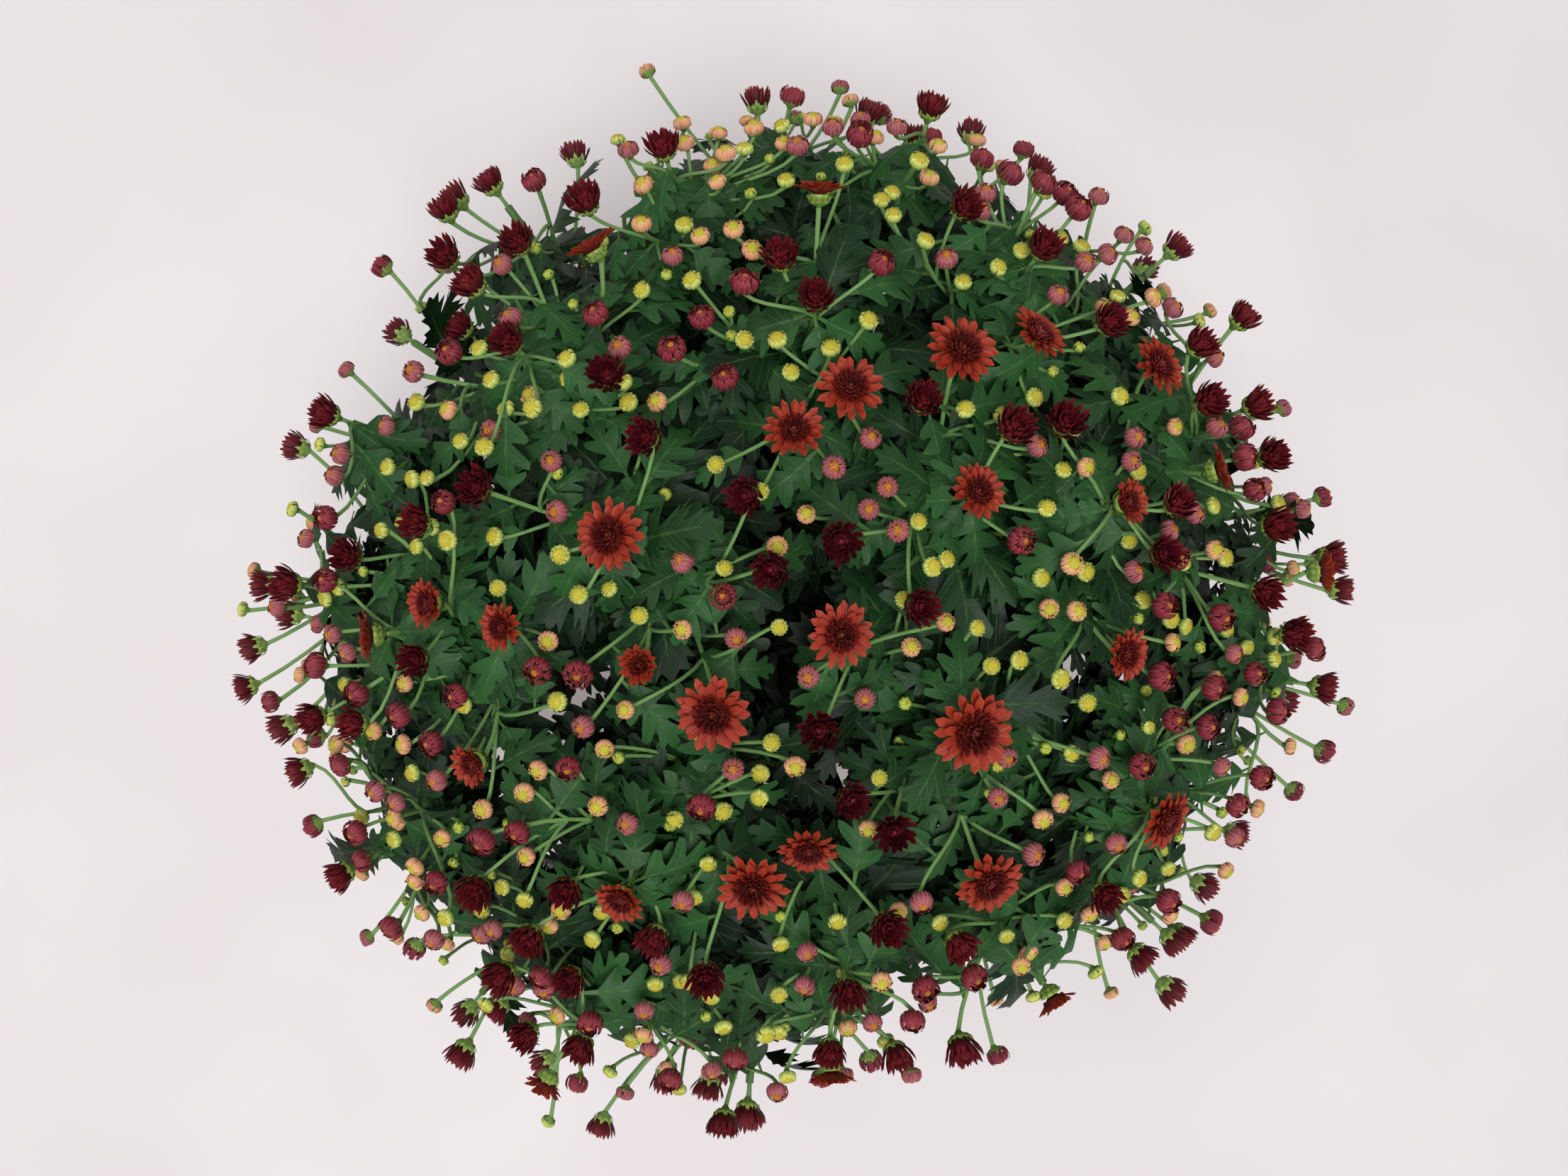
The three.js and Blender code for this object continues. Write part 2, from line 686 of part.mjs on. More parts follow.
// A leaf on one of the stem's flats, moved on to the next flat until it is clear
function growLeaf(stem, flat, back, length, draw) {
  const { point, direction } = alongStem(stem, back);
  const { x, y } = squareTo(direction, stem.side);
  for (const shift of LEAF_TURNS) {
    const angle = ((flat + shift + 0.5) * 2 * Math.PI) / STEM_SIDES;
    const tilt = 0.05 + 0.45 * draw();
    const heading = x.clone().multiplyScalar(Math.cos(angle) * Math.cos(tilt));
    heading.addScaledVector(y, Math.sin(angle) * Math.cos(tilt));
    heading.addScaledVector(direction, Math.sin(tilt)).normalize();
    const leaf = { root: point, direction: heading, face: direction, length };
    if (isClear(stem.name, leafSolid(leaf, CLEARANCE))) {
      addPiece(stem, leafSolid(leaf, 0));
      return;
    }
  }
}

LEAF_BACK.forEach((back, k) => {
  stems.forEach((stem) => {
    if (k === LEAF_BACK.length - 1 && stem.index < LEAF_SKIRT) return;
    if (k === LEAF_BACK.length - 2 && stem.index < LEAF_INNER) return;
    const draw = draws(5000 + stem.index * 20 + k);
    const length = LEAF_LENGTH[k] * (0.92 + 0.16 * draw());
    growLeaf(stem, 2 * k + stem.index, back + 8 * draw(), length, draw);
  });
});

stems.forEach((stem) => {
  const whole = wasm.Manifold.union(stem.pieces);
  addMesh(stem.name, geometryOf(whole, stem.path[0]), "leaf", stem.path[0]);
});

export default root;
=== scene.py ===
"""A potted cushion chrysanthemum dressed on its frame.

The growth rule works in millimetres, and each mesh is written in metres.
"""

import math

import bmesh
import bpy
import numpy as np
from mathutils import Matrix, Vector
from numpy.linalg import norm


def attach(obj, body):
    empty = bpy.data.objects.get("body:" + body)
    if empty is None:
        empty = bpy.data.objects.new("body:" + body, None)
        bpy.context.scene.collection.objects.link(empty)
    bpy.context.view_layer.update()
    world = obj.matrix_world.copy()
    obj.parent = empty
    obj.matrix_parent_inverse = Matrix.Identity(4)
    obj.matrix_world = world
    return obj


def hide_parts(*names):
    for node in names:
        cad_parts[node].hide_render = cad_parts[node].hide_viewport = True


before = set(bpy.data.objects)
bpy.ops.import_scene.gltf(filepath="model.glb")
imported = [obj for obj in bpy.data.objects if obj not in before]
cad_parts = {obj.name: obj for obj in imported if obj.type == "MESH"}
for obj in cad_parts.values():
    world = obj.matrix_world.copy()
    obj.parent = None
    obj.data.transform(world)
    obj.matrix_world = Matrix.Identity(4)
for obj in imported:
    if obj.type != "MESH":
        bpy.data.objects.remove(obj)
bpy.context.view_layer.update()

TO_METRES = 0.001
GOLDEN_TURN = math.pi * (3 - math.sqrt(5))
UP = np.array([0.0, 0.0, 1.0])
EAST = np.array([1.0, 0.0, 0.0])

# Pot and soil
POT_BASE_R = 84
POT_MOUTH_R = 113
POT_RIM_R = 120
POT_RIM_DEPTH = 22
POT_HEIGHT = 190
POT_WALL = 3
POT_FLOOR = 4
DRAIN_HOLES = 4
DRAIN_HOLE_R = 6
DRAIN_CIRCLE_R = 58
SOIL_TOP = 172
STEM_DEPTH = 22

# The cushion: an oblate dome on which the flower heads stand
CUSHION_R = 296
CUSHION_Z = 290
CUSHION_TOP = 168
CUSHION_UNDER = 105
# How far round from its top the cushion goes, in degrees
CUSHION_END = 105
# Reach of the cushion every 30 degrees from +X, as a share of its radius
REACH = [1.02, 0.98, 0.96, 0.955, 0.96, 0.98, 1.02, 1.03, 1.07, 0.98, 0.955, 1.02]

# How far out small leaves and added heads may reach, as seen by an eye above the plant, as a share
# of the eye's height, and how far past it a leaf may end
EYE_HEIGHT = 975
LEAF_RIM = 0.375
HEAD_RIM = 0.435
LEAF_SLACK = 0.003
# Valleys in that rim: azimuth and half width in degrees, and depth as a share of the eye's height
RIM_VALLEYS = [[20, 12, 0.02], [122, 16, 0.05], [150, 14, 0.06], [294, 16, 0.05]]

# Leafy stems
STEMS = 28
STEM_STEPS = 5
STEM_SIDES = 5
STEM_FOOT_R = 3
STEM_TIP_R = 2.2
TIP_DEPTH = 14
BLOOM_PULL = 46

# Flower heads by stage: green, yellow, peach, pink, maroon, dark half-open
STAGE_SHARE = [0.08, 0.32, 0.46, 0.63, 0.82, 1]
STAGE_ACROSS = [6.4, 8.4, 9.3, 10.4, 12.6, 16.5]
STAGE_SINK = [20, 12, 8, 4, 0, -4]
HEADS = 400
HEAD_STRIDE = 4
EXTRA_HEADS = 340
PEDICEL_R = 1.1

# Heads that stand out round the rim: azimuth in degrees and reach from the axis
RIM_HEADS = [
    [0, 314], [3, 302], [10, 310], [14, 302], [21, 270], [29, 298], [34, 291], [39, 276],
    [46, 293], [53, 294], [60, 282], [69, 285], [75, 271], [80, 282], [85, 295], [90, 276],
    [95, 292], [100, 293], [106, 316], [111, 282], [117, 285], [124, 280], [131, 293], [137, 287],
    [142, 298], [151, 284], [161, 289], [172, 279], [178, 310], [182, 317], [186, 310], [190, 318],
    [195, 302], [200, 301], [206, 308], [212, 297], [219, 318], [224, 312], [229, 318], [237, 300],
    [245, 339], [250, 327], [255, 290], [260, 290], [265, 304], [273, 283], [279, 276], [288, 273],
    [296, 265], [302, 281], [308, 298], [313, 317], [318, 300], [324, 292], [331, 292], [338, 313],
    [343, 322], [348, 328], [352, 294], [356, 274],
]

# Open blooms: plan distance from the axis, azimuth and lean from upright in degrees, width across,
# rise of the outer petals, depth below the cushion
BLOOMS = [
    [26, 313, 8, 30, 0.12, 0], [66, 235, 14, 34, 0.1, 0], [87, 164, 16, 33, 0.1, 0],
    [70, 92, 15, 28, 0.35, 0], [92, 76, 16, 31, 0.16, 0], [90, 29, 20, 27, 0.3, 2],
    [98, 321, 16, 39, 0.08, -2], [80, 205, 12, 22, 0.8, 8], [130, 56, 22, 34, 0.12, 0],
    [159, 47, 45, 30, 0.2, 0], [200, 32, 38, 30, 0.15, 0], [154, 15, 34, 24, 0.6, 0],
    [207, 16, 66, 25, 0.3, 0], [152, 349, 30, 26, 0.3, 2], [204, 328, 42, 32, 0.12, 0],
    [159, 303, 28, 32, 0.12, 0], [239, 302, 70, 24, 0.6, 0], [134, 261, 20, 33, 0.12, -2],
    [122, 272, 36, 28, 0.2, 14], [240, 274, 72, 26, 0.4, 0], [162, 240, 36, 26, 0.5, 0],
    [290, 243, 86, 24, 0.5, 0], [169, 208, 36, 24, 0.6, 0], [170, 182, 34, 25, 0.5, 0],
    [203, 186, 68, 28, 0.3, 0], [137, 187, 28, 24, 0.35, 4], [186, 121, 70, 27, 0.35, 0],
    [186, 87, 70, 27, 0.35, 0], [268, 2, 84, 24, 0.6, 0],
]

# How far below a stem's tip the pedicels of added heads may branch off
FORK_BACK = [6, 16, 28, 42, 58]

# Large leaves: how far below the stem's tip each one grows, and its length
LEAF_BACK = [14, 28, 44, 64, 88, 116, 165]
LEAF_LENGTH = [44, 50, 56, 60, 62, 62, 58]
LEAF_TURNS = [0, 1, -1, 2, -2]
# Small leaves: how far along a pedicel each one grows, as a share of it
MAIN_LEAVES = [0.0, 0.11, 0.22, 0.34, 0.47, 0.61, 0.76]
SIDE_LEAVES = [0.05, 0.55]
# Side shoots: how many, how far below the cushion they end, and where their leaves grow
SHOOTS = 190
SHOOT_DEPTH = 42
SHOOT_LEAVES = [0.3, 0.45, 0.6, 0.75, 0.9, 1.0]
# Inner leaves: how far below the stem's tip each one grows
INNER_LEAVES = [
    24, 32, 40, 48, 57, 66, 75, 84, 94, 104, 115, 126, 138, 150, 163, 176, 190, 205, 222, 240,
]

# A leaf's edge on one side of the rib: where each ray leaves the rib, its angle and its length
LEAF_RAYS = [
    [-0.2, 90, 0.017], [-0.08, 90, 0.016], [0, 88, 0.03], [0.03, 82, 0.13], [0.065, 74, 0.29],
    [0.09, 69, 0.22], [0.12, 63, 0.43], [0.15, 60, 0.29], [0.18, 58, 0.34], [0.215, 55, 0.2],
    [0.26, 54, 0.1], [0.3, 53, 0.17], [0.335, 51, 0.34], [0.36, 50, 0.26], [0.4, 47, 0.47],
    [0.44, 45, 0.31], [0.475, 43, 0.35], [0.53, 42, 0.13], [0.58, 42, 0.17], [0.63, 40, 0.31],
    [0.67, 37, 0.2], [0.72, 33, 0.26], [0.79, 27, 0.14], [0.87, 20, 0.1], [1, 0, 0],
]

# The same for the smaller leaves, which have blunter lobes
SMALL_RAYS = [
    [-0.2, 90, 0.018], [0, 88, 0.03], [0.05, 80, 0.12], [0.09, 72, 0.26], [0.13, 66, 0.34],
    [0.17, 60, 0.33], [0.205, 56, 0.2], [0.26, 54, 0.11], [0.3, 54, 0.27], [0.345, 51, 0.4],
    [0.395, 47, 0.42], [0.44, 44, 0.33], [0.49, 42, 0.15], [0.55, 42, 0.18], [0.61, 40, 0.31],
    [0.67, 37, 0.28], [0.73, 32, 0.15], [0.8, 28, 0.16], [0.87, 21, 0.12], [1, 0, 0],
]


def draws(seed):
    """A repeatable series of numbers between 0 and 1. Each use has seeds of its own."""
    state = ((seed + 1) * 2654435761) & 0xFFFFFFFF

    def draw():
        nonlocal state
        state = (state * 1664525 + 1013904223) & 0xFFFFFFFF
        return state / 4294967296

    return draw


def unit(v):
    return v / norm(v)


def outward(azimuth):
    return np.array([math.cos(azimuth), math.sin(azimuth), 0.0])


def off_axis(axis):
    """A direction that a given axis doesn't point along."""
    return UP if abs(axis[2]) < 0.9 else EAST


def square_to(axis, reference):
    """Two directions square to an axis, the first as near as it can be to a reference."""
    x = unit(reference - axis * np.dot(reference, axis))
    return x, np.cross(axis, x)


# The growth rule of the cushion
def reach_at(azimuth):
    turn = ((azimuth / (2 * math.pi)) * 12 + 1200) % 12
    low = math.floor(turn)
    return REACH[low] + (REACH[(low + 1) % 12] - REACH[low]) * (turn - low)


def cushion_r(polar, azimuth):
    return CUSHION_R * (1 + (reach_at(azimuth) - 1) * math.sin(polar) ** 2)


def on_cushion(polar, azimuth, depth):
    r = cushion_r(polar, azimuth)
    rise = CUSHION_TOP if polar < math.pi / 2 else CUSHION_UNDER
    out = outward(azimuth)
    point = out * r * math.sin(polar)
    point[2] = CUSHION_Z + rise * math.cos(polar)
    normal = out * math.sin(polar) / r
    normal[2] = math.cos(polar) / rise
    normal = unit(normal)
    return point - normal * depth, normal


AREA_ABOVE = [0.0]
for degree in range(1, CUSHION_END + 1):
    ring_polar = math.radians(degree - 0.5)
    ring_rise = CUSHION_TOP if ring_polar < math.pi / 2 else CUSHION_UNDER
    ring_slope = math.hypot(CUSHION_R * math.cos(ring_polar), ring_rise * math.sin(ring_polar))
    AREA_ABOVE.append(AREA_ABOVE[-1] + math.sin(ring_polar) * ring_slope)


def polar_at(share):
    wanted = share * AREA_ABOVE[CUSHION_END]
    i = 1
    while i < CUSHION_END and AREA_ABOVE[i] < wanted:
        i += 1
    part = (wanted - AREA_ABOVE[i - 1]) / (AREA_ABOVE[i] - AREA_ABOVE[i - 1])
    return math.radians(i - 1 + part)


def share_at(polar):
    degrees = min(math.degrees(polar), CUSHION_END - 0.01)
    i = math.floor(degrees)
    part = (AREA_ABOVE[i + 1] - AREA_ABOVE[i]) * (degrees - i)
    return (AREA_ABOVE[i] + part) / AREA_ABOVE[CUSHION_END]


def polar_of_reach(reach, azimuth):
    polar = math.asin(min(reach / CUSHION_R, 1))
    for _ in range(4):
        polar = math.asin(min(reach / cushion_r(polar, azimuth), 1))
    return polar


def depth_of(point):
    """Roughly how far a point lies below the cushion's surface, and the normal there."""
    azimuth = math.atan2(point[1], point[0])
    flat = math.hypot(point[0], point[1])
    high = point[2] - CUSHION_Z
    rise = CUSHION_TOP if high > 0 else CUSHION_UNDER
    r = CUSHION_R * reach_at(azimuth)
    level = math.sqrt((flat / r) ** 2 + (high / rise) ** 2)
    slope = np.array([point[0] / r**2, point[1] / r**2, high / rise**2])
    length = max(norm(slope), 1e-6)
    return (1 - level) * level / length, slope / length


def past_rim(point, rim):
    """How far a point reaches out past a rim, as seen from above the plant."""
    azimuth = math.atan2(point[1], point[0])
    limit = rim * reach_at(azimuth)
    for turn, half, deep in RIM_VALLEYS:
        aside = abs((math.degrees(azimuth) - turn + 180) % 360 - 180)
        limit -= deep * max(0, 1 - aside / half)
    return math.hypot(point[0], point[1]) / (EYE_HEIGHT - point[2]) - limit


blooms = []
for i, (reach, turn, lean, across, rise, depth) in enumerate(BLOOMS):
    azimuth = math.radians(turn)
    polar = polar_of_reach(reach, azimuth)
    point, _ = on_cushion(polar, azimuth, depth)
    tilt = math.radians(lean)
    axis = outward(azimuth) * math.sin(tilt) + UP * math.cos(tilt)
    blooms.append({
        "index": i, "polar": polar, "azimuth": azimuth, "point": point, "axis": axis,
        "across": across, "rise": rise,
    })

stems = [
    {"index": i, "azimuth": i * GOLDEN_TURN + 0.6, "polar": polar_at((i + 0.5) / STEMS), "bloom": None}
    for i in range(STEMS)
]
for bloom in blooms:
    best, best_gap = None, BLOOM_PULL
    for stem in stems:
        if stem["bloom"]:
            continue
        spot, _ = on_cushion(stem["polar"], stem["azimuth"], 0)
        gap = norm(spot - bloom["point"])
        if gap < best_gap:
            best, best_gap = stem, gap
    if best:
        best["bloom"] = bloom
        best["polar"] = bloom["polar"]
        best["azimuth"] = bloom["azimuth"]


def bezier(a, b, c, d, t):
    s = 1 - t
    return a * s**3 + b * 3 * s * s * t + c * 3 * s * t * t + d * t**3


for stem in stems:
    share = share_at(stem["polar"])
    out = outward(stem["azimuth"])
    point, normal = on_cushion(stem["polar"], stem["azimuth"], TIP_DEPTH)
    lean = 0.05 + 0.5 * share
    foot = out * (8 + 60 * share**0.6)
    foot[2] = SOIL_TOP - STEM_DEPTH
    leaving = foot + out * math.sin(lean) * 80
    leaving[2] += math.cos(lean) * 80
    own = stem["bloom"]
    tip = own["point"] - own["axis"] * 6 if own else point
    facing = unit(own["axis"] + normal) if own else normal
    stem["curve"] = (foot, leaving, tip - facing * 90, tip)
    stem["path"] = [bezier(*stem["curve"], k / STEM_STEPS) for k in range(STEM_STEPS + 1)]
    stem["side"] = np.array([-out[1], out[0], 0.0])
    stem["tip"] = tip
    stem["facing"] = facing
    stem["name"] = f"leafy_stem_{stem['index'] + 1:02d}"


def along_stem(stem, back):
    """A point on a stem at a distance below its tip, with the stem's direction there."""
    path = stem["path"]
    for i in range(len(path) - 1, 0, -1):
        span = norm(path[i] - path[i - 1])
        direction = unit(path[i] - path[i - 1])
        if back <= span or i == 1:
            return path[i] - direction * back, direction
        back -= span


def nearest_stem(point):
    return min(stems, key=lambda stem: norm(stem["tip"] - point))


def head_from(polar, azimuth, draw, extra):
    share = draw()
    stage = min(5, next(k for k, limit in enumerate(STAGE_SHARE) if share <= limit) + extra)
    depth = STAGE_SINK[stage] + (draw() - 0.5) * 10
    point, normal = on_cushion(polar, azimuth, depth)
    jitter = np.array([draw() - 0.5, draw() - 0.5, draw() - 0.5]) * 0.5
    across = STAGE_ACROSS[stage] * (0.92 + 0.16 * draw())
    return {"stage": stage, "point": point, "axis": unit(normal + jitter), "across": across}


heads = []
for i, (turn, reach) in enumerate(RIM_HEADS):
    draw = draws(700 + i)
    azimuth = math.radians(turn)
    head = head_from(math.radians(84 + 10 * draw()), azimuth, draw, 1)
    head["point"][:2] *= reach / math.hypot(*head["point"][:2])
    head["spare"] = i % 2 == 1 and reach <= 312
    head["rim"] = True
    heads.append(head)
for stem in stems:
    if stem["bloom"]:
        continue
    head = head_from(stem["polar"], stem["azimuth"], draws(900 + stem["index"]), 0)
    head.update(stage=5, across=STAGE_ACROSS[5], axis=stem["facing"], stem=stem)
    head["point"] = stem["tip"] + stem["facing"] * TIP_DEPTH
    heads.append(head)


def crowded(head, room):
    return any(
        norm(other["point"] - head["point"]) < (other["across"] + head["across"]) / 2 + room
        for other in blooms + heads
    )


for i in range(HEADS):
    draw = draws(1000 + i)
    polar = polar_at((i + 0.5) / HEADS) + (draw() - 0.5) * 0.07
    azimuth = i * GOLDEN_TURN + ((draw() - 0.5) * 0.07) / max(math.sin(polar), 0.1)
    head = head_from(abs(polar), azimuth, draw, 0)
    if not crowded(head, 9):
        head["spare"] = i % HEAD_STRIDE != 0
        head["left_out"] = head["spare"] and abs(polar) > 1.36 and i % 3 > 0
        heads.append(head)
# Other heads stand beside the ones that reach out round the rim.
for i in range(2 * len(RIM_HEADS)):
    draw = draws(26000 + i)
    near = heads[i % len(RIM_HEADS)]
    polar = math.radians(66 + 20 * draw())
    head = head_from(polar, math.atan2(near["point"][1], near["point"][0]), draw, 1)
    aside = np.array([draw() - 0.5, draw() - 0.5, 1.2 * draw() - 0.3])
    head["point"] = near["point"] + unit(aside) * (14 + 16 * draw())
    head["point"][:2] *= 1 - 0.16 * draw() ** 1.5
    head["axis"] = unit(near["axis"] + 0.8 * aside)
    if not crowded(head, 2) and draw() < 0.5:
        head["spare"] = head["rim"] = True
        heads.append(head)
# Later heads fill what room is left, most of them beside others and on the upper side.
added = 0
for trial in range(9000):
    if added == EXTRA_HEADS:
        break
    draw = draws(20000 + trial)
    if draw() < 0.4:
        polar, azimuth = polar_at(0.5 * draw() ** 0.9), draw() * 2 * math.pi
    else:
        near = heads[int(draw() * len(heads))]
        turn = draw() * 2 * math.pi
        spot = near["point"][:2] + (12 + 12 * draw()) * outward(turn)[:2]
        azimuth = math.atan2(spot[1], spot[0])
        if math.hypot(*spot) > 0.86 * cushion_r(math.pi / 2, azimuth):
            continue
        polar = polar_of_reach(math.hypot(*spot), azimuth)
    head = head_from(polar, azimuth, draw, 1 if polar > 0.9 and draw() < 0.6 else 0)
    if not crowded(head, 2):
        head["spare"] = True
        heads.append(head)
        added += 1
# Added heads past the rim are left out, and some half-open ones high up are buds instead.
for i, head in enumerate(heads):
    draw = draws(31000 + i)
    high = head["point"][2] > CUSHION_Z + 0.62 * CUSHION_TOP
    if head.get("spare") and past_rim(head["point"], HEAD_RIM) > 0:
        head["left_out"] = True
    if head.get("spare") and head["stage"] >= 4 and high and draw() < 0.28:
        head["stage"] = 1 if draw() < 0.75 else 2
        head["across"] = STAGE_ACROSS[head["stage"]] * (0.96 + 0.16 * draw())


def root_of(point, seed, own):
    stem = own or nearest_stem(point)
    aside = norm(stem["tip"] - point)
    back = 2 if own else 10 + 0.62 * aside + 10 * draws(seed)()
    spot, direction = along_stem(stem, back)
    return stem, spot


# The two numbers of what has no tint of its own
PLAIN = np.array([[0.5, 0.5]])


def show(name, data):
    made = bpy.data.objects.new(name, data)
    bpy.context.scene.collection.objects.link(made)
    return made


# Mesh code. A batch of grids is an array of shape (count, rows, columns, 3).
class Build:
    """Grids of points gathered into one mesh, each with two sets of coordinates for its materials."""

    def __init__(self):
        self.points, self.faces, self.uv, self.own, self.slots = [], [], [], [], []
        self.count = 0

    def add(self, points, uv, own, slot, wrap=False):
        n, rows, columns, _ = points.shape
        index = np.arange(n * rows * columns).reshape(n, rows, columns) + self.count
        if wrap:
            index = np.concatenate([index, index[:, :, :1]], axis=2)
        a, b = index[:, :-1, :-1], index[:, :-1, 1:]
        c, d = index[:, 1:, 1:], index[:, 1:, :-1]
        faces = np.stack([a, b, c, d], axis=-1).reshape(-1, 4)
        self.points.append(points.reshape(-1, 3))
        self.uv.append(np.broadcast_to(uv, (n, rows, columns, 2)).reshape(-1, 2))
        spread = np.broadcast_to(np.reshape(own, (n, 1, 1, 2)), (n, rows, columns, 2))
        self.own.append(spread.reshape(-1, 2))
        self.faces.append(faces)
        self.slots.append(np.full(len(faces), slot))
        self.count += n * rows * columns

    def finish(self, name, materials):
        points = np.concatenate(self.points) * TO_METRES
        faces = np.concatenate(self.faces)
        mesh = bpy.data.meshes.new(name)
        mesh.vertices.add(len(points))
        mesh.vertices.foreach_set("co", points.astype(np.float32).ravel())
        mesh.loops.add(faces.size)
        mesh.loops.foreach_set("vertex_index", faces.astype(np.int32).ravel())
        mesh.polygons.add(len(faces))
        mesh.polygons.foreach_set("loop_start", np.arange(len(faces), dtype=np.int32) * 4)
        mesh.polygons.foreach_set("material_index", np.concatenate(self.slots).astype(np.int32))
        for layer, values in (("UVMap", self.uv), ("Own", self.own)):
            flat = np.concatenate(values)[faces.ravel()].astype(np.float32)
            mesh.uv_layers.new(name=layer).data.foreach_set("uv", flat.ravel())
        mesh.update(calc_edges=True)
        mesh.validate()
        mesh.polygons.foreach_set("use_smooth", np.ones(len(mesh.polygons), dtype=bool))
        for material in materials:
            mesh.materials.append(material)
        return show(name, mesh)


def tube(build, path, radii, sides, own, slot, reference=None):
    """A round tube along a path, with one radius for each point of it."""
    path = np.asarray(path)
    direction = np.gradient(path, axis=0)
    direction /= norm(direction, axis=1, keepdims=True)
    if reference is None:
        reference = off_axis(direction[0])
    x = reference - direction * (direction @ reference)[:, None]
    x /= norm(x, axis=1, keepdims=True)
    y = np.cross(direction, x)
    turn = np.arange(sides) / sides * 2 * math.pi
    ring = x[:, None] * np.cos(turn)[None, :, None] + y[:, None] * np.sin(turn)[None, :, None]
    points = path[:, None] + ring * np.asarray(radii)[:, None, None]
    steps = np.linspace(0, 1, len(path))
    uv = np.stack(np.broadcast_arrays(steps[:, None], (turn / (2 * math.pi))[None]), axis=-1)
    build.add(points[None], uv[None], own, slot, wrap=True)


def lathe(build, centre, axis, profile, sides, own, slot):
    """A surface turned about an axis, from a list of radius and height."""
    profile = np.asarray(profile, float)
    x, y = square_to(axis, off_axis(axis))
    turn = np.arange(sides) / sides * 2 * math.pi
    ring = np.cos(turn)[:, None] * x + np.sin(turn)[:, None] * y
    points = centre + profile[:, 0][:, None, None] * ring[None] + profile[:, 1][:, None, None] * axis
    steps = np.linspace(0, 1, len(profile))
    uv = np.stack(np.broadcast_arrays(steps[:, None], (turn / (2 * math.pi))[None]), axis=-1)
    build.add(points[None], uv[None], own, slot, wrap=True)


def petals(build, centre, axis, ring, seed, slot):
    """A ring of petals round an axis.

    A ring says how many petals, how far out and up each one starts, its length and width, its rise
    at the base and at the tip in degrees, how far its edges curl up, and how blunt its tip is.
    """
    random = np.random.default_rng(seed)
    n = ring["count"]
    rows, columns = ring["rows"], ring.get("columns", 3)
    s = np.linspace(0, 1, rows)
    steps = (s[1:] + s[:-1]) / 2
    wobble = ring.get("wobble", 1.0)
    length = ring["length"] * (1 + wobble * random.uniform(-0.1, 0.06, n))
    start = np.radians(ring["rise"][0] + wobble * random.uniform(-6, 6, n))
    end = np.radians(ring["rise"][1] + wobble * random.uniform(-12, 12, n))
    bend = start[:, None] + (end - start)[:, None] * steps[None] ** ring.get("late", 1.0)
    hop = length[:, None] / (rows - 1)
    zero = np.zeros((n, 1))
    out = ring["base"] + np.concatenate([zero, np.cumsum(np.cos(bend) * hop, axis=1)], axis=1)
    up = ring["height"] + np.concatenate([zero, np.cumsum(np.sin(bend) * hop, axis=1)], axis=1)
    slope = np.concatenate([bend, bend[:, -1:]], axis=1)
    blunt = ring["blunt"]
    neck = ring["neck"]
    swell = neck + (1 - neck) * np.sin(np.clip(s / blunt, 0, 1) * math.pi / 2)
    cut = np.sqrt(np.clip(1 - np.clip((s - blunt) / (1.0001 - blunt), 0, 1) ** 2, 0.02, 1))
    half = ring["width"] / 2 * swell * cut * (1 + 0.12 * random.uniform(-1, 1, (n, 1)))
    side = np.linspace(-1, 1, columns)
    roll = ring["curl"]
    twist = wobble * random.uniform(-0.25, 0.25, (n, 1, 1)) * s[None, :, None]
    across = half[:, :, None] * side
    lift = half[:, :, None] * roll * (side**2 - 0.35) + across * twist
    azimuth = (np.arange(n) + ring.get("offset", 0)) / n * 2 * math.pi
    azimuth += wobble * random.uniform(-0.22, 0.22, n) * 2 * math.pi / n
    x, y = square_to(axis, off_axis(axis))
    radial = np.cos(azimuth)[:, None] * x + np.sin(azimuth)[:, None] * y
    tangent = -np.sin(azimuth)[:, None] * x + np.cos(azimuth)[:, None] * y
    flat = out[:, :, None] - np.sin(slope)[:, :, None] * lift
    high = up[:, :, None] + np.cos(slope)[:, :, None] * lift
    points = centre + flat[..., None] * radial[:, None, None] + high[..., None] * axis
    points = points + across[..., None] * tangent[:, None, None]
    uv = np.stack(np.broadcast_arrays(s[:, None], ((side + 1) / 2)[None]), axis=-1)
    own = random.uniform(0, 1, (n, 2))
    build.add(points, uv[None], own, slot)


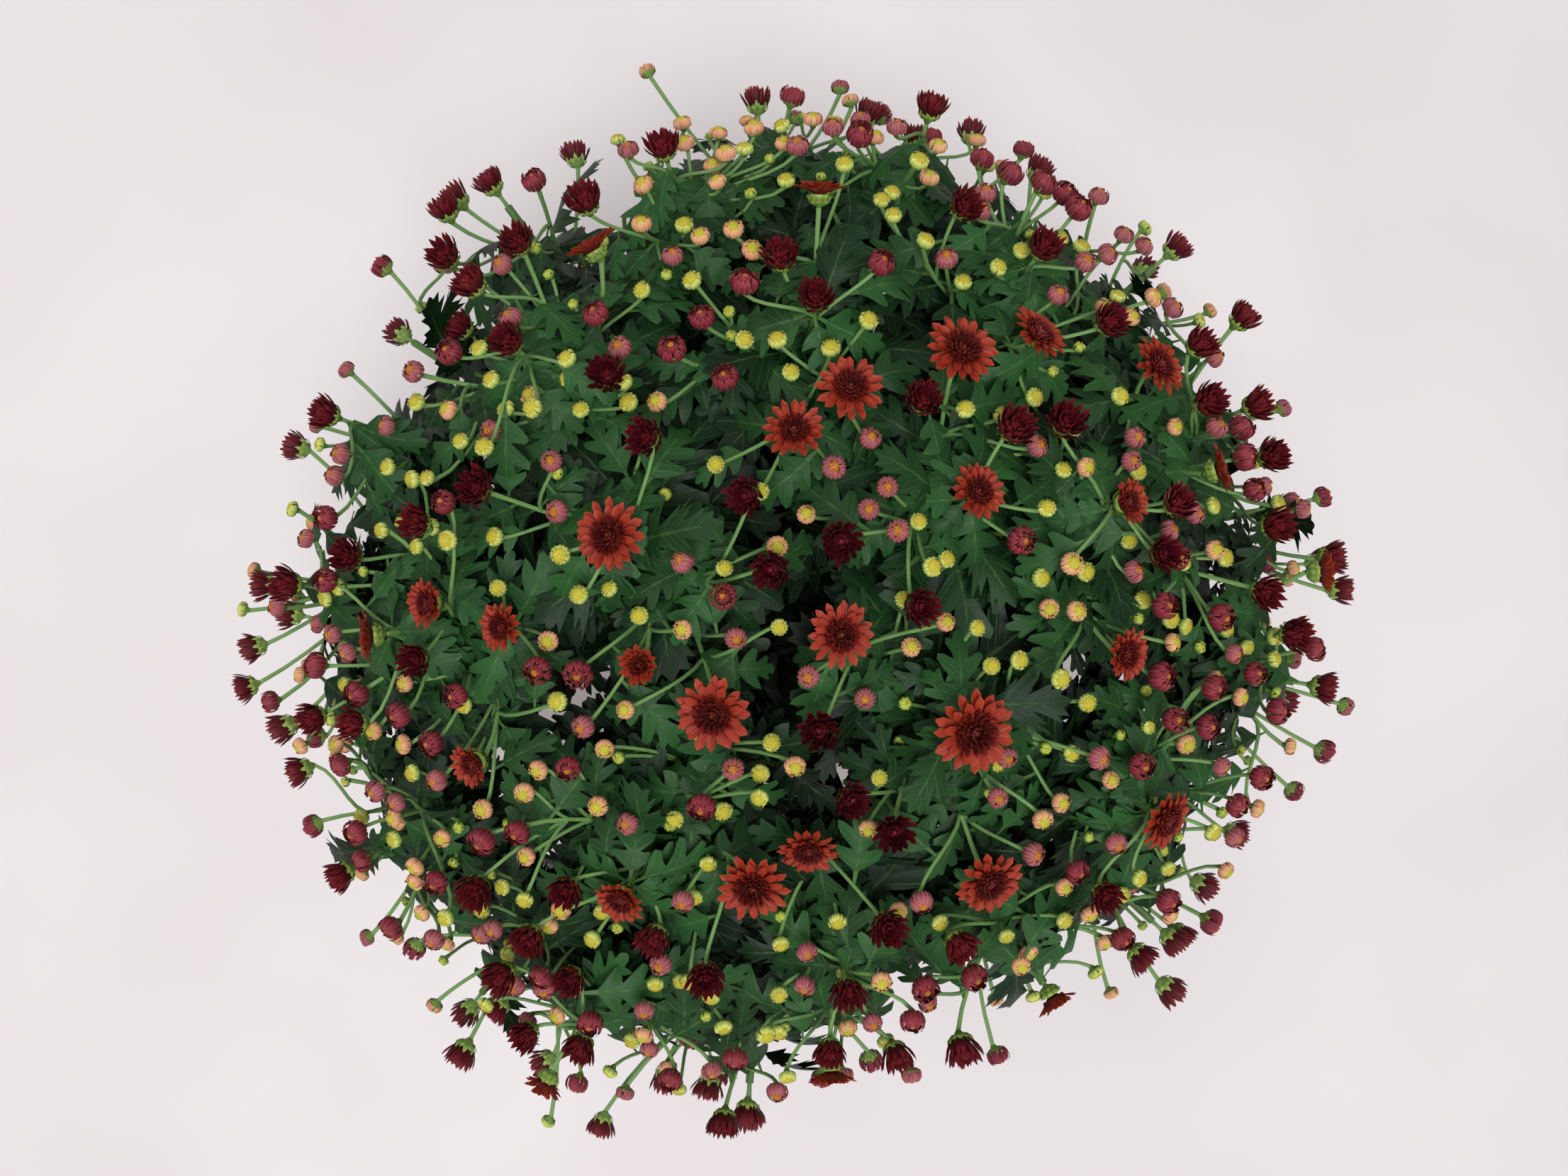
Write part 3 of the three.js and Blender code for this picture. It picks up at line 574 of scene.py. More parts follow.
def leaf(build, root, direction, face, length, seed, rays, fine, leaf_shade):
    """A lobed and toothed leaf on its stalk, arched along its rib, its upper side towards face."""
    random = np.random.default_rng(seed)
    y = unit(np.cross(face, direction))
    z = np.cross(direction, y)
    start = rays[:, 0]
    angle = np.radians(rays[:, 1])
    width = random.uniform(0.9, 1.12)
    fraction = np.array([-1, -0.55, 0, 0.55, 1]) if fine else np.array([-1, 0, 1])
    ray = rays[:, 2][:, None] * np.abs(fraction)[None]
    ray = ray * (1 + random.uniform(-0.09, 0.09, ray.shape) * (np.abs(fraction) == 1))
    x = start[:, None] + ray * np.cos(angle)[:, None]
    aside = ray * np.sin(angle)[:, None] * np.sign(fraction)[None] * width
    arch = 0.1 * np.sin(np.maximum(x, 0) * 2.6) - 0.16 * np.maximum(x, 0) ** 2
    droop = 0.1 * np.abs(aside) + random.uniform(0.3, 1.1) * aside**2
    phase = random.uniform(0, 6.28, 3)
    sway = random.uniform(-0.14, 0.14)
    ripple = 0.045 * np.sin(13 * x + phase[0]) * np.abs(aside) / 0.3
    ripple += 0.018 * np.sin(29 * x + phase[1]) * (np.abs(aside) / 0.3) ** 2
    fold = random.uniform(-0.12, 0.34) * np.abs(aside)
    up = arch - droop + ripple + fold + random.uniform(-0.2, 0.2) * aside
    aside = aside + sway * np.maximum(x, 0) ** 2
    local = np.stack([x + 0.2, aside, up], axis=-1) * length
    points = root + local @ np.stack([direction, y, z])
    uv = np.stack(np.broadcast_arrays(start[:, None], ((fraction + 1) / 2)[None]), axis=-1)
    # The first own number is the leaf's painted shade from its depth, with a random tone added.
    own = np.array([[min(max(leaf_shade + random.uniform(-0.22, 0.22), 0), 1), random.uniform(0, 1)]])
    build.add(points[None], uv[None], own, 0)


# Materials
def material(name):
    made = bpy.data.materials.new(name)
    made.use_nodes = True
    tree = made.node_tree
    shader = tree.nodes["Principled BSDF"]
    return made, tree, shader


def node(tree, kind, **values):
    made = tree.nodes.new(kind)
    for key, value in values.items():
        if key in made.inputs:
            made.inputs[key].default_value = value
        else:
            setattr(made, key, value)
    return made


def linear(rgb):
    """A display colour from 0 to 255 as the linear one a node takes."""
    part = [c / 255 for c in rgb]
    return tuple(c / 12.92 if c <= 0.04045 else ((c + 0.055) / 1.055) ** 2.4 for c in part) + (1.0,)


def ramp(tree, factor, stops):
    made = tree.nodes.new("ShaderNodeValToRGB")
    elements = made.color_ramp.elements
    while len(elements) < len(stops):
        elements.new(0.5)
    for element, (place, colour) in zip(elements, stops):
        element.position = place
        element.color = linear(colour)
    tree.links.new(factor, made.inputs["Fac"])
    return made.outputs["Color"]


def coordinates(tree, layer):
    made = node(tree, "ShaderNodeUVMap", uv_map=layer)
    parts = tree.nodes.new("ShaderNodeSeparateXYZ")
    tree.links.new(made.outputs["UV"], parts.inputs["Vector"])
    return parts.outputs["X"], parts.outputs["Y"]


def maths(tree, operation, a, b=0.0, c=None, clamp=False):
    made = node(tree, "ShaderNodeMath", operation=operation, use_clamp=clamp)
    for i, value in enumerate((a, b, c)):
        if value is None:
            continue
        if isinstance(value, (int, float)):
            made.inputs[i].default_value = value
        else:
            tree.links.new(value, made.inputs[i])
    return made.outputs[0]


def mix(tree, factor, a, b, blend="MIX"):
    made = node(tree, "ShaderNodeMix", data_type="RGBA", blend_type=blend)
    for index, value in ((0, factor), (6, a), (7, b)):
        if isinstance(value, (int, float, tuple)):
            made.inputs[index].default_value = value
        else:
            tree.links.new(value, made.inputs[index])
    return made.outputs[2]


def noise(tree, scale, detail=2.0):
    place = tree.nodes.new("ShaderNodeTexCoord")
    made = node(tree, "ShaderNodeTexNoise", Scale=scale, Detail=detail)
    tree.links.new(place.outputs["Object"], made.inputs["Vector"])
    return made.outputs["Fac"]


def bump(tree, shader, height, strength, distance):
    made = node(tree, "ShaderNodeBump", Strength=strength, Distance=distance)
    tree.links.new(height, made.inputs["Height"])
    tree.links.new(made.outputs["Normal"], shader.inputs["Normal"])


def near_line(tree, value, line, width):
    """One on a line of a coordinate and nought past a width either side of it."""
    gap = maths(tree, "ABSOLUTE", maths(tree, "SUBTRACT", value, line))
    return maths(tree, "SUBTRACT", 1.0, maths(tree, "DIVIDE", gap, width), clamp=True)


def leaf_material():
    made, tree, shader = material("leaf_blade")
    u, v = coordinates(tree, "UVMap")
    own, shade = coordinates(tree, "Own")
    # A leaf's first own number picks its green: a painted shade, darker the deeper the leaf lies in the
    # plant, with a random tone added.
    body = ramp(tree, own, [(0, (6, 19, 8)), (0.5, (16, 43, 18)), (1, (42, 88, 41))])
    patch = noise(tree, 90.0)
    body = mix(tree, maths(tree, "MULTIPLY", patch, 0.4), body, linear((16, 42, 20)))
    rib = near_line(tree, v, 0.5, 0.05)
    sides = near_line(tree, u, 0.12, 0.011)
    for line in (0.4, 0.635, 0.06, 0.19, 0.335, 0.48, 0.74):
        sides = maths(tree, "MAXIMUM", sides, near_line(tree, u, line, 0.008))
    veins = maths(tree, "MAXIMUM", rib, maths(tree, "MULTIPLY", sides, 0.55))
    stalk = maths(tree, "LESS_THAN", u, 0.01)
    veins = maths(tree, "MAXIMUM", veins, stalk)
    pale = mix(tree, 0.42, body, linear((104, 146, 76)))
    paint = mix(tree, maths(tree, "MULTIPLY", veins, 0.55), body, pale)
    tree.links.new(paint, shader.inputs["Base Color"])
    rough = maths(tree, "MULTIPLY_ADD", noise(tree, 260.0), 0.2, 0.42)
    tree.links.new(rough, shader.inputs["Roughness"])
    shader.inputs["Specular IOR Level"].default_value = 0.22
    pores = maths(tree, "MULTIPLY", noise(tree, 700.0), 0.35)
    height = maths(tree, "MULTIPLY_ADD", veins, -0.8, pores)
    bump(tree, shader, height, 0.5, 0.0006)
    return made


def stem_material(name, top, low):
    made, tree, shader = material(name)
    u, v = coordinates(tree, "UVMap")
    own, _ = coordinates(tree, "Own")
    streak = noise(tree, 320.0, 4.0)
    along = maths(tree, "MULTIPLY_ADD", streak, 0.5, maths(tree, "MULTIPLY", u, 0.7))
    body = ramp(tree, along, [(0.15, low), (0.75, top)])
    tree.links.new(body, shader.inputs["Base Color"])
    ridges = maths(tree, "SINE", maths(tree, "MULTIPLY", v, 2 * math.pi * 8))
    bump(tree, shader, maths(tree, "MULTIPLY_ADD", ridges, 0.5, streak), 0.4, 0.0004)
    shader.inputs["Roughness"].default_value = 0.55
    return made


def petal_material(name, along, tips, stripe, edge, rough=0.5):
    """A petal coloured along its length, with fine lines on it, paler edges and a tint of its own."""
    made, tree, shader = material(name)
    u, v = coordinates(tree, "UVMap")
    own, second = coordinates(tree, "Own")
    body = ramp(tree, u, along)
    aged = ramp(tree, u, tips)
    body = mix(tree, own, body, aged)
    fine = maths(tree, "SINE", maths(tree, "MULTIPLY", v, 2 * math.pi * 3.5))
    fine = maths(tree, "MULTIPLY_ADD", fine, 0.5, 0.5)
    amount = maths(tree, "MULTIPLY", fine, stripe[0])
    body = mix(tree, amount, body, linear(stripe[1]))
    middle = maths(tree, "ABSOLUTE", maths(tree, "MULTIPLY_ADD", v, 2.0, -1.0))
    rim = maths(tree, "POWER", middle, 6.0)
    body = mix(tree, maths(tree, "MULTIPLY", rim, edge[0]), body, linear(edge[1]))
    grain = noise(tree, 900.0, 3.0)
    body = mix(tree, maths(tree, "MULTIPLY", grain, 0.3 * edge[0]), body, linear(edge[1]))
    tree.links.new(body, shader.inputs["Base Color"])
    bump(tree, shader, maths(tree, "MULTIPLY_ADD", fine, 0.6, grain), 0.35, 0.0003)
    shader.inputs["Roughness"].default_value = rough
    shader.inputs["Specular IOR Level"].default_value = 0.2
    return made


def grain_material(name, low, high, scale):
    made, tree, shader = material(name)
    place = tree.nodes.new("ShaderNodeTexCoord")
    cells = node(tree, "ShaderNodeTexVoronoi", Scale=scale)
    tree.links.new(place.outputs["Object"], cells.inputs["Vector"])
    body = ramp(tree, cells.outputs["Distance"], [(0.0, high), (0.55, low)])
    tree.links.new(body, shader.inputs["Base Color"])
    bump(tree, shader, maths(tree, "MULTIPLY", cells.outputs["Distance"], -1.0), 0.8, 0.0006)
    shader.inputs["Roughness"].default_value = 0.6
    return made


LEAF = leaf_material()
STEM = stem_material("stem_skin", (74, 108, 48), (84, 76, 44))
PEDICEL = stem_material("pedicel_skin", (112, 152, 84), (70, 112, 54))
BRACT = stem_material("bract_skin", (150, 178, 84), (64, 104, 42))
DISC = grain_material("disc_grain", (176, 164, 34), (230, 220, 84), 1500.0)
HEART = grain_material("heart_grain", (160, 84, 16), (240, 176, 52), 1500.0)
MIDDLE_PETAL = petal_material(
    "petal_middle", [(0, (50, 5, 8)), (0.5, (108, 18, 14)), (1, (150, 38, 24))],
    [(0, (44, 4, 8)), (0.5, (90, 13, 13)), (1, (134, 30, 22))],
    (0.35, (62, 7, 8)), (0.25, (184, 84, 60)),
)
HEAD_PETALS = [
    petal_material(
        "petal_green", [(0, (120, 150, 50)), (1, (204, 212, 96))],
        [(0, (104, 140, 44)), (1, (186, 200, 78))], (0.25, (90, 130, 40)), (0.3, (216, 222, 130)),
    ),
    petal_material(
        "petal_yellow", [(0, (120, 156, 60)), (0.5, (190, 204, 96)), (1, (236, 228, 132))],
        [(0, (110, 148, 56)), (0.5, (160, 184, 78)), (1, (214, 206, 96))],
        (0.3, (150, 160, 54)), (0.35, (244, 240, 184)),
    ),
    petal_material(
        "petal_peach", [(0, (160, 150, 74)), (0.4, (226, 180, 116)), (1, (240, 204, 120))],
        [(0, (160, 130, 74)), (0.4, (212, 136, 110)), (1, (236, 188, 100))],
        (0.8, (176, 72, 78)), (0.45, (250, 234, 190)),
    ),
    petal_material(
        "petal_pink", [(0, (126, 80, 60)), (0.3, (156, 66, 86)), (1, (168, 84, 90))],
        [(0, (116, 76, 56)), (0.3, (130, 40, 62)), (1, (180, 100, 92))],
        (0.7, (96, 14, 36)), (0.5, (228, 168, 164)),
    ),
    petal_material(
        "petal_maroon", [(0, (100, 30, 36)), (0.4, (128, 30, 50)), (1, (156, 52, 62))],
        [(0, (84, 18, 28)), (0.5, (98, 14, 32)), (1, (166, 66, 72))],
        (0.6, (62, 4, 16)), (0.35, (196, 108, 118)),
    ),
    petal_material(
        "petal_burgundy", [(0, (44, 5, 12)), (0.5, (84, 11, 22)), (1, (118, 26, 34))],
        [(0, (38, 4, 10)), (0.6, (92, 14, 22)), (1, (136, 38, 40))],
        (0.5, (44, 3, 10)), (0.25, (156, 66, 76)),
    ),
]
OPEN_PETAL = petal_material(
    "petal_open", [(0, (84, 12, 10)), (0.45, (138, 38, 21)), (1, (164, 56, 33))],
    [(0, (72, 8, 8)), (0.5, (124, 28, 18)), (1, (150, 44, 26))],
    (0.4, (100, 18, 10)), (0.3, (196, 96, 66)),
)
INNER_PETAL = petal_material(
    "petal_heart", [(0, (44, 4, 8)), (0.6, (86, 11, 14)), (1, (150, 56, 46))],
    [(0, (40, 4, 8)), (0.7, (80, 10, 14)), (1, (138, 56, 54))],
    (0.4, (44, 4, 8)), (0.3, (168, 84, 78)),
)


# Flower heads
def receptacle(build, point, axis, half, wide, seed):
    """The green cup of bracts under a head, from its pedicel to its widest part."""
    own = np.array([[draws(seed)(), 0.5]])
    profile = [
        [PEDICEL_R * 1.1, -0.78 * half - 1], [0.5 * wide, -0.7 * half], [0.86 * wide, -0.54 * half],
        [wide, -0.36 * half], [0.94 * wide, -0.16 * half],
    ]
    lathe(build, point, axis, profile, 8, own, 0)
    petals(build, point, axis, {
        "count": 7, "base": 0.72 * wide, "height": -0.62 * half, "length": 0.7 * half,
        "width": 0.6 * wide, "rise": (28, 92), "curl": -0.35, "rows": 3,
        "blunt": 0.45, "neck": 0.7, "wobble": 0.5,
    }, seed * 3, 0)


def bud_rings(stage, half):
    """The rings of petals in a head that isn't open yet.

    A row says how many petals, their base, height, length, width, rise, curl and how late they bend.
    """
    rings = [
        [(8, 0.8, -0.42, 1.3, 0.62, (66, 178), -0.3, 1.0)],
        [(14, 0.9, -0.45, 1.04, 0.5, (62, 150), -0.35, 1.0)],
        [(15, 0.9, -0.45, 1.16, 0.47, (62, 160), -0.35, 1.0)],
        [
            (15, 0.88, -0.45, 1.34, 0.46, (62, 166), -0.35, 1.0),
            (9, 0.5, 0.24, 0.4, 0.32, (96, 150), -0.3, 1.0),
        ],
        [
            (16, 0.84, -0.44, 1.36, 0.42, (60, 146), -0.3, 1.1),
            (12, 0.6, 0.0, 0.9, 0.3, (80, 136), 0.5, 1.0),
            (8, 0.38, 0.2, 0.6, 0.26, (88, 128), 0.6, 1.0),
        ],
        [
            (15, 0.5, -0.36, 1.36, 0.34, (44, 84), 0.6, 1.1),
            (14, 0.46, -0.1, 1.12, 0.29, (56, 90), 0.9, 1.1),
            (11, 0.34, 0.08, 0.86, 0.26, (68, 96), 0.9, 1.0),
            (7, 0.18, 0.16, 0.68, 0.22, (78, 100), 0.9, 1.0),
        ],
    ]
    return [
        dict(count=count, base=base * half, height=height * half, length=length * half,
             width=width * half, rise=rise, curl=curl, late=late, offset=0.5 * k,
             rows=5, neck=0.75 if stage < 4 else 0.6, blunt=0.82 if stage < 4 else 0.72)
        for k, (count, base, height, length, width, rise, curl, late) in enumerate(rings[stage])
    ]


def head_piece(build, head, seed):
    half = head["across"] / 2
    point, axis, stage = head["point"], head["axis"], head["stage"]
    receptacle(build, point, axis, half, [0.86, 0.84, 0.82, 0.78, 0.72, 0.58][stage] * half, seed)
    for k, ring in enumerate(bud_rings(stage, half)):
        petals(build, point, axis, ring, seed * 7 + k, 2 + stage)
    wide = [0.3, 0.7, 0.56, 0.42, 0.32, 0.4][stage] * half
    high = [0.56, 0.5, 0.54, 0.6, 0.62, 0.3][stage] * half
    dome = [
        [wide + 0.14 * half, high - 0.34 * half], [wide, high - 0.04 * half],
        [0.5 * wide, high + 0.08 * half], [0.01, high + 0.12 * half],
    ]
    lathe(build, point, axis, dome, 8, PLAIN, [1, 1, 1, 8, 8, 7][stage])


def pedicel(build, root, neck, leaving, arriving, thick, seed):
    """A curved stalk that leaves its root one way and reaches a head's neck another."""
    length = norm(neck - root)
    run = (neck - root) / length
    near = root + unit(run + 0.7 * leaving) * length * 0.33
    far = neck - unit(run + 0.7 * arriving) * length * 0.33
    t = np.linspace(0, 1, 7)[:, None]
    path = bezier(root[None], near[None], far[None], neck[None], t)
    radii = PEDICEL_R * thick * np.array([1.2, 1.05, 1.0, 0.95, 0.92, 0.95, 1.05])
    tube(build, path, radii, 5, np.array([[draws(seed)(), 0.5]]), 2)
    return path


def open_bloom(bloom):
    build = Build()
    r = bloom["across"] / 2
    lift = math.degrees(math.atan(bloom["rise"]))
    half_open = min(bloom["rise"] / 0.8, 1)
    layers = [
        (16, 0.2, 0.1, 0.84, 0.24, (lift + 9, lift - 9), 7, 5, 0.25, 0),
        (14, 0.2, 0.14, 0.68, 0.22, (lift + 19, lift + 5), 7, 5, 0.35, 0),
        (12, 0.3, 0.16, 0.36, 0.17, (lift + 30, lift + 34), 5, 3, 0.6, 1),
        (17, 0.34, 0.17, 0.27, 0.13, (lift + 36, lift + 64), 5, 3, 0.8, 2),
        (15, 0.28, 0.19, 0.28, 0.12, (lift + 46, 82), 5, 3, 0.9, 2),
        (13, 0.2, 0.21, 0.28, 0.11, (60, 98), 5, 3, 0.9, 2),
        (10, 0.13, 0.22, 0.27, 0.1, (70, 112), 5, 3, 0.9, 2),
        (6, 0.07, 0.23, 0.22, 0.09, (78, 122), 5, 3, 0.9, 2),
    ]
    for k, (count, base, height, length, width, rise, rows, columns, curl, slot) in enumerate(layers):
        if slot == 2:
            base *= 1 + 0.45 * half_open
            length *= 1 + 0.25 * half_open
        petals(build, bloom["point"], bloom["axis"], {
            "count": count, "base": base * r, "height": height * r, "length": length * r,
            "width": width * r, "rise": rise, "curl": curl + 0.4 * half_open,
            "rows": rows, "columns": columns, "blunt": 0.8, "neck": 0.55,
            "offset": 0.5 * k,
        }, 9000 + bloom["index"] * 10 + k, slot)
    dome = [[0.1 * r, 0.24 * r], [0.08 * r, 0.32 * r], [0.03 * r, 0.35 * r], [0.001, 0.355 * r]]
    lathe(build, bloom["point"], bloom["axis"], dome, 8, PLAIN, 3)
    base = [[0.01, 0], [0.12 * r, 0.02 * r], [0.2 * r, 0.1 * r], [0.12 * r, 0.24 * r]]
    lathe(build, bloom["point"], bloom["axis"], base, 10, PLAIN, 2)
    name = f"bloom_{bloom['index'] + 1:02d}"
    made = build.finish("open_" + name, [OPEN_PETAL, MIDDLE_PETAL, INNER_PETAL, HEART])
    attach(made, "root")
    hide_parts(name)


# Growing it all
for stem in stems:
    stem["green"], stem["flowers"] = Build(), Build()
pedicels = []

for stem in stems:
    t = np.linspace(0, 1, 21)[:, None]
    path = bezier(*[p[None] for p in stem["curve"]], t)
    radii = STEM_FOOT_R + (STEM_TIP_R - STEM_FOOT_R) * t[:, 0]
    tube(stem["green"], path, radii, 8, PLAIN, 1, stem["side"])

for bloom in blooms:
    own = next((stem for stem in stems if stem["bloom"] is bloom), None)
    stem, root = root_of(bloom["point"], 400 + bloom["index"], own)
    green = stem["green"]
    neck = bloom["point"] - bloom["axis"] * 5
    run = unit(neck - root)
    path = pedicel(green, root, neck, run, bloom["axis"], 1.15, 41000 + bloom["index"])
    pedicels.append((stem, path, bloom))
    cup = [[1.1, -5], [1.6, -4.4], [3.4, -3], [4.4, -1.2], [4.7, 0.4], [4.5, 1]]
    lathe(green, bloom["point"], bloom["axis"], cup, 12, PLAIN, 3)
    for k in range(2):
        petals(green, bloom["point"], bloom["axis"], {
            "count": 10, "base": 2.2 + 1.1 * k, "height": -4 + 1.6 * k, "length": 4.6, "width": 3,
            "rise": (30, 56), "curl": -0.3, "rows": 4, "blunt": 0.5, "neck": 0.7,
            "offset": 0.5 * k, "wobble": 0.5,
        }, 8000 + bloom["index"] * 2 + k, 3)
    open_bloom(bloom)

for i, head in enumerate(heads):
    head["neck"] = head["point"] - head["axis"] * (0.375 * head["across"] + 1)
    if head.get("spare"):
        continue
    stem, root = root_of(head["point"], 3000 + i, head.get("stem"))
    run = unit(head["neck"] - root)
    path = pedicel(stem["green"], root, head["neck"], run, head["axis"], 1.12, 42000 + i)
    pedicels.append((stem, path, head))
    head_piece(stem["flowers"], head, 50000 + i)

# The other heads branch off those pedicels and off the tops of the stems.
forks = []
for stem, path, _ in pedicels:
    for k in range(1, 5):
        forks.append((stem, path[k], unit(path[k + 1] - path[k])))
for stem in stems:
    for back in FORK_BACK:
        forks.append((stem, *along_stem(stem, back)))
fork_points = np.array([fork[1] for fork in forks])
fork_uses = np.zeros(len(forks))
side_pedicels = []
for i, head in enumerate(heads):
    if not head.get("spare") or head.get("left_out"):
        continue
    reach = head["neck"] - fork_points
    gap = norm(reach, axis=1)
    rising = reach @ depth_of(head["neck"])[1] / np.maximum(gap, 1)
    cost = np.abs(gap - 30) + 40 * np.maximum(0, 0.55 - rising) + 12 * fork_uses
    best = int(np.argmin(cost))
    fork_uses[best] += 1
    stem, root, leaving = forks[best]
    path = pedicel(stem["green"], root, head["neck"], leaving, head["axis"], 0.95, 42000 + i)
    side_pedicels.append((stem, path, head))
    head_piece(stem["flowers"], head, 50000 + i)


def shade_by_depth(point):
    """Painted shade: nought for the darkest leaves deep in the plant and one for those at its surface,
    by how deep they lie.
    """
    depth, _ = depth_of(point)
    return min(max(0.92 - (depth - 20) / 44, 0.05), 0.88)


# Large leaves, each where its stem's solid has one
rays = np.array(LEAF_RAYS)
small_rays = np.array(SMALL_RAYS)
for stem in stems:
    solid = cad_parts[stem["name"]]
    corners = np.array([v.co[:] for v in solid.data.vertices]) / TO_METRES
    for k, back in enumerate(LEAF_BACK):
        draw = draws(5000 + stem["index"] * 20 + k)
        length = LEAF_LENGTH[k] * (0.92 + 0.16 * draw())
        root, direction = along_stem(stem, back + 8 * draw())
        x, y = square_to(direction, stem["side"])
        for shift in LEAF_TURNS:
            angle = ((2 * k + stem["index"] + shift + 0.5) * 2 * math.pi) / STEM_SIDES
            tilt = 0.05 + 0.45 * draw()
            aside = x * math.cos(angle) + y * math.sin(angle)
            heading = unit(aside * math.cos(tilt) + direction * math.sin(tilt))
            z = np.cross(heading, unit(np.cross(direction, heading)))
            tip = root + heading * 1.2 * length + z * (0.1 * math.sin(2.6) - 0.16) * length
            if norm(corners - tip, axis=1).min() < 0.5:
                seed = 60000 + stem["index"] * 20 + k
                # Painted shade from the leaf's depth, made darker still for the large leaves.
                leaf_shade = 0.6 * shade_by_depth(root + heading * 0.7 * length)
                leaf(stem["green"], root, heading, direction, length, seed, rays, True, leaf_shade)
                break


def edge_depth(point, normal):
    """How far below the cushion's surface the leaves stay, which is ragged and deeper round the rim."""
    azimuth = math.atan2(point[1], point[0])
    ragged = 15 * math.sin(5 * azimuth + 1) + 12 * math.sin(11 * azimuth) + 9 * math.sin(23 * azimuth)
    side = 1 - max(normal[2], 0)
    return 20 + (24 + ragged) * side


def small_leaf(stem, root, run, turn, length, draw, seed, layer, near):
    """A leaf below the cushion's surface with its upper side outward and to the light.

    It lies in a layer below where leaves start, and near scales that start's depth.
    """
    depth, normal = depth_of(root)
    light = unit(normal + UP * (0.25 + 1.1 * (1 - max(normal[2], 0))))
    x, y = square_to(light, np.array([1.0, 0.2, 0.1]))
    for attempt in range(4):
        angle = turn + 1.7 * attempt
        aside = x * math.cos(angle) + y * math.sin(angle)
        wanted = near * edge_depth(root, normal) + layer * draw()
        gain = float(aside @ normal)
        climb = float(np.clip((depth - wanted) / (1.15 * length) - gain, -0.5, 0.5))
        heading = unit(aside + light * climb)
        far = root + heading * length * 1.15
        end, end_normal = depth_of(far)
        if end >= near * edge_depth(far, end_normal) - 2 and past_rim(far, LEAF_RIM) < LEAF_SLACK / near:
            cross = np.cross(light, aside)
            tilt = 0.9 * aside * (draw() - 0.5) + 0.9 * cross * (draw() - 0.5)
            face = unit(light + tilt + 0.12 * run)
            # Painted shade from the leaf's depth.
            leaf_shade = shade_by_depth(root + heading * 0.6 * length)
            fine = layer < 30 and depth < 36
            leaf(stem["green"], root, heading, face, length, seed, small_rays, fine, leaf_shade)
            return


# Small leaves along the pedicels, kept below the heads
for i, (stem, path, top) in enumerate(pedicels + side_pedicels):
    draw = draws(70000 + i)
    run = unit(path[-1] - path[0])
    near = 0.3 if top.get("rim") else 1.0
    for k, share in enumerate(MAIN_LEAVES if i < len(pedicels) else SIDE_LEAVES):
        place = min(max(share + (draw() - 0.5) * 0.1, 0), 0.9) * (len(path) - 1)
        low = int(place)
        root = path[low] + (path[low + 1] - path[low]) * (place - low)
        turn = (i * 0.37 + k) * GOLDEN_TURN * 2 + draw()
        length = (23 if near == 1.0 else 19) + 15 * draw()
        small_leaf(stem, root, run, turn, length, draw, 71000 + i * 8 + k, 26, near)
# Side shoots with leaves of their own, where the stems stand far apart
for i in range(SHOOTS):
    draw = draws(33000 + i)
    polar = polar_at((i + 0.5) / SHOOTS * 0.8)
    end, normal = on_cushion(polar, i * GOLDEN_TURN + draw(), SHOOT_DEPTH + 20 * draw())
    stem = nearest_stem(end)
    aside = norm(stem["tip"] - end)
    if aside < 18:
        continue
    root, direction = along_stem(stem, 30 + 0.9 * aside)
    t = np.linspace(0, 1, 6)[:, None]
    middle = root + direction * 0.4 * aside
    path = bezier(root[None], middle[None], (end - normal * 0.3 * aside)[None], end[None], t)
    tube(stem["green"], path, np.linspace(2.1, 1.3, 6), 6, np.array([[draw(), 0.5]]), 1)
    for k, share in enumerate(SHOOT_LEAVES):
        spot = path[min(int(share * 5), 4)] + (path[5] - path[4]) * 0.5 * (share == 1.0)
        turn = k * GOLDEN_TURN + i
        small_leaf(stem, spot, direction, turn, 28 + 15 * draw(), draw, 95000 + i * 8 + k, 30, 1.0)
# Inner leaves along the stems
for stem in stems:
    for k, back in enumerate(INNER_LEAVES):
        draw = draws(90000 + stem["index"] * 20 + k)
        root, direction = along_stem(stem, back + 10 * draw())
        turn = k * GOLDEN_TURN + stem["index"]
        length = 50 + 18 * draw()
        small_leaf(stem, root, direction, turn, length, draw, 91000 + stem["index"] * 20 + k, 60, 1.0)

for stem in stems:
    number = f"{stem['index'] + 1:02d}"
    green = stem["green"].finish("foliage_" + number, [LEAF, STEM, PEDICEL, BRACT])
    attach(green, "root")
    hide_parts(stem["name"])
    if stem["flowers"].count:
        parts = [BRACT, DISC] + HEAD_PETALS + [HEART]
        heads_made = stem["flowers"].finish("heads_" + number, parts)
        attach(heads_made, "root")


# Pot and soil
def pot_material():
    made, tree, shader = material("pot_moulded")
    cloud = noise(tree, 14.0, 5.0)
    fine = noise(tree, 600.0, 2.0)
    body = ramp(tree, cloud, [(0.3, (128, 72, 48)), (0.7, (152, 90, 62))])
    body = mix(tree, maths(tree, "MULTIPLY", fine, 0.25), body, linear((176, 128, 98)))
    tree.links.new(body, shader.inputs["Base Color"])
    tree.links.new(maths(tree, "MULTIPLY_ADD", cloud, 0.2, 0.5), shader.inputs["Roughness"])
    bump(tree, shader, fine, 0.25, 0.0004)
    return made


def soil_material():
    made, tree, shader = material("soil_crumb")
    crumb = noise(tree, 180.0, 8.0)
    body = ramp(tree, crumb, [(0.35, (28, 20, 14)), (0.55, (62, 44, 30)), (0.75, (98, 76, 54))])
    tree.links.new(body, shader.inputs["Base Color"])
    bump(tree, shader, crumb, 1.0, 0.003)
    shader.inputs["Roughness"].default_value = 0.95
    return made


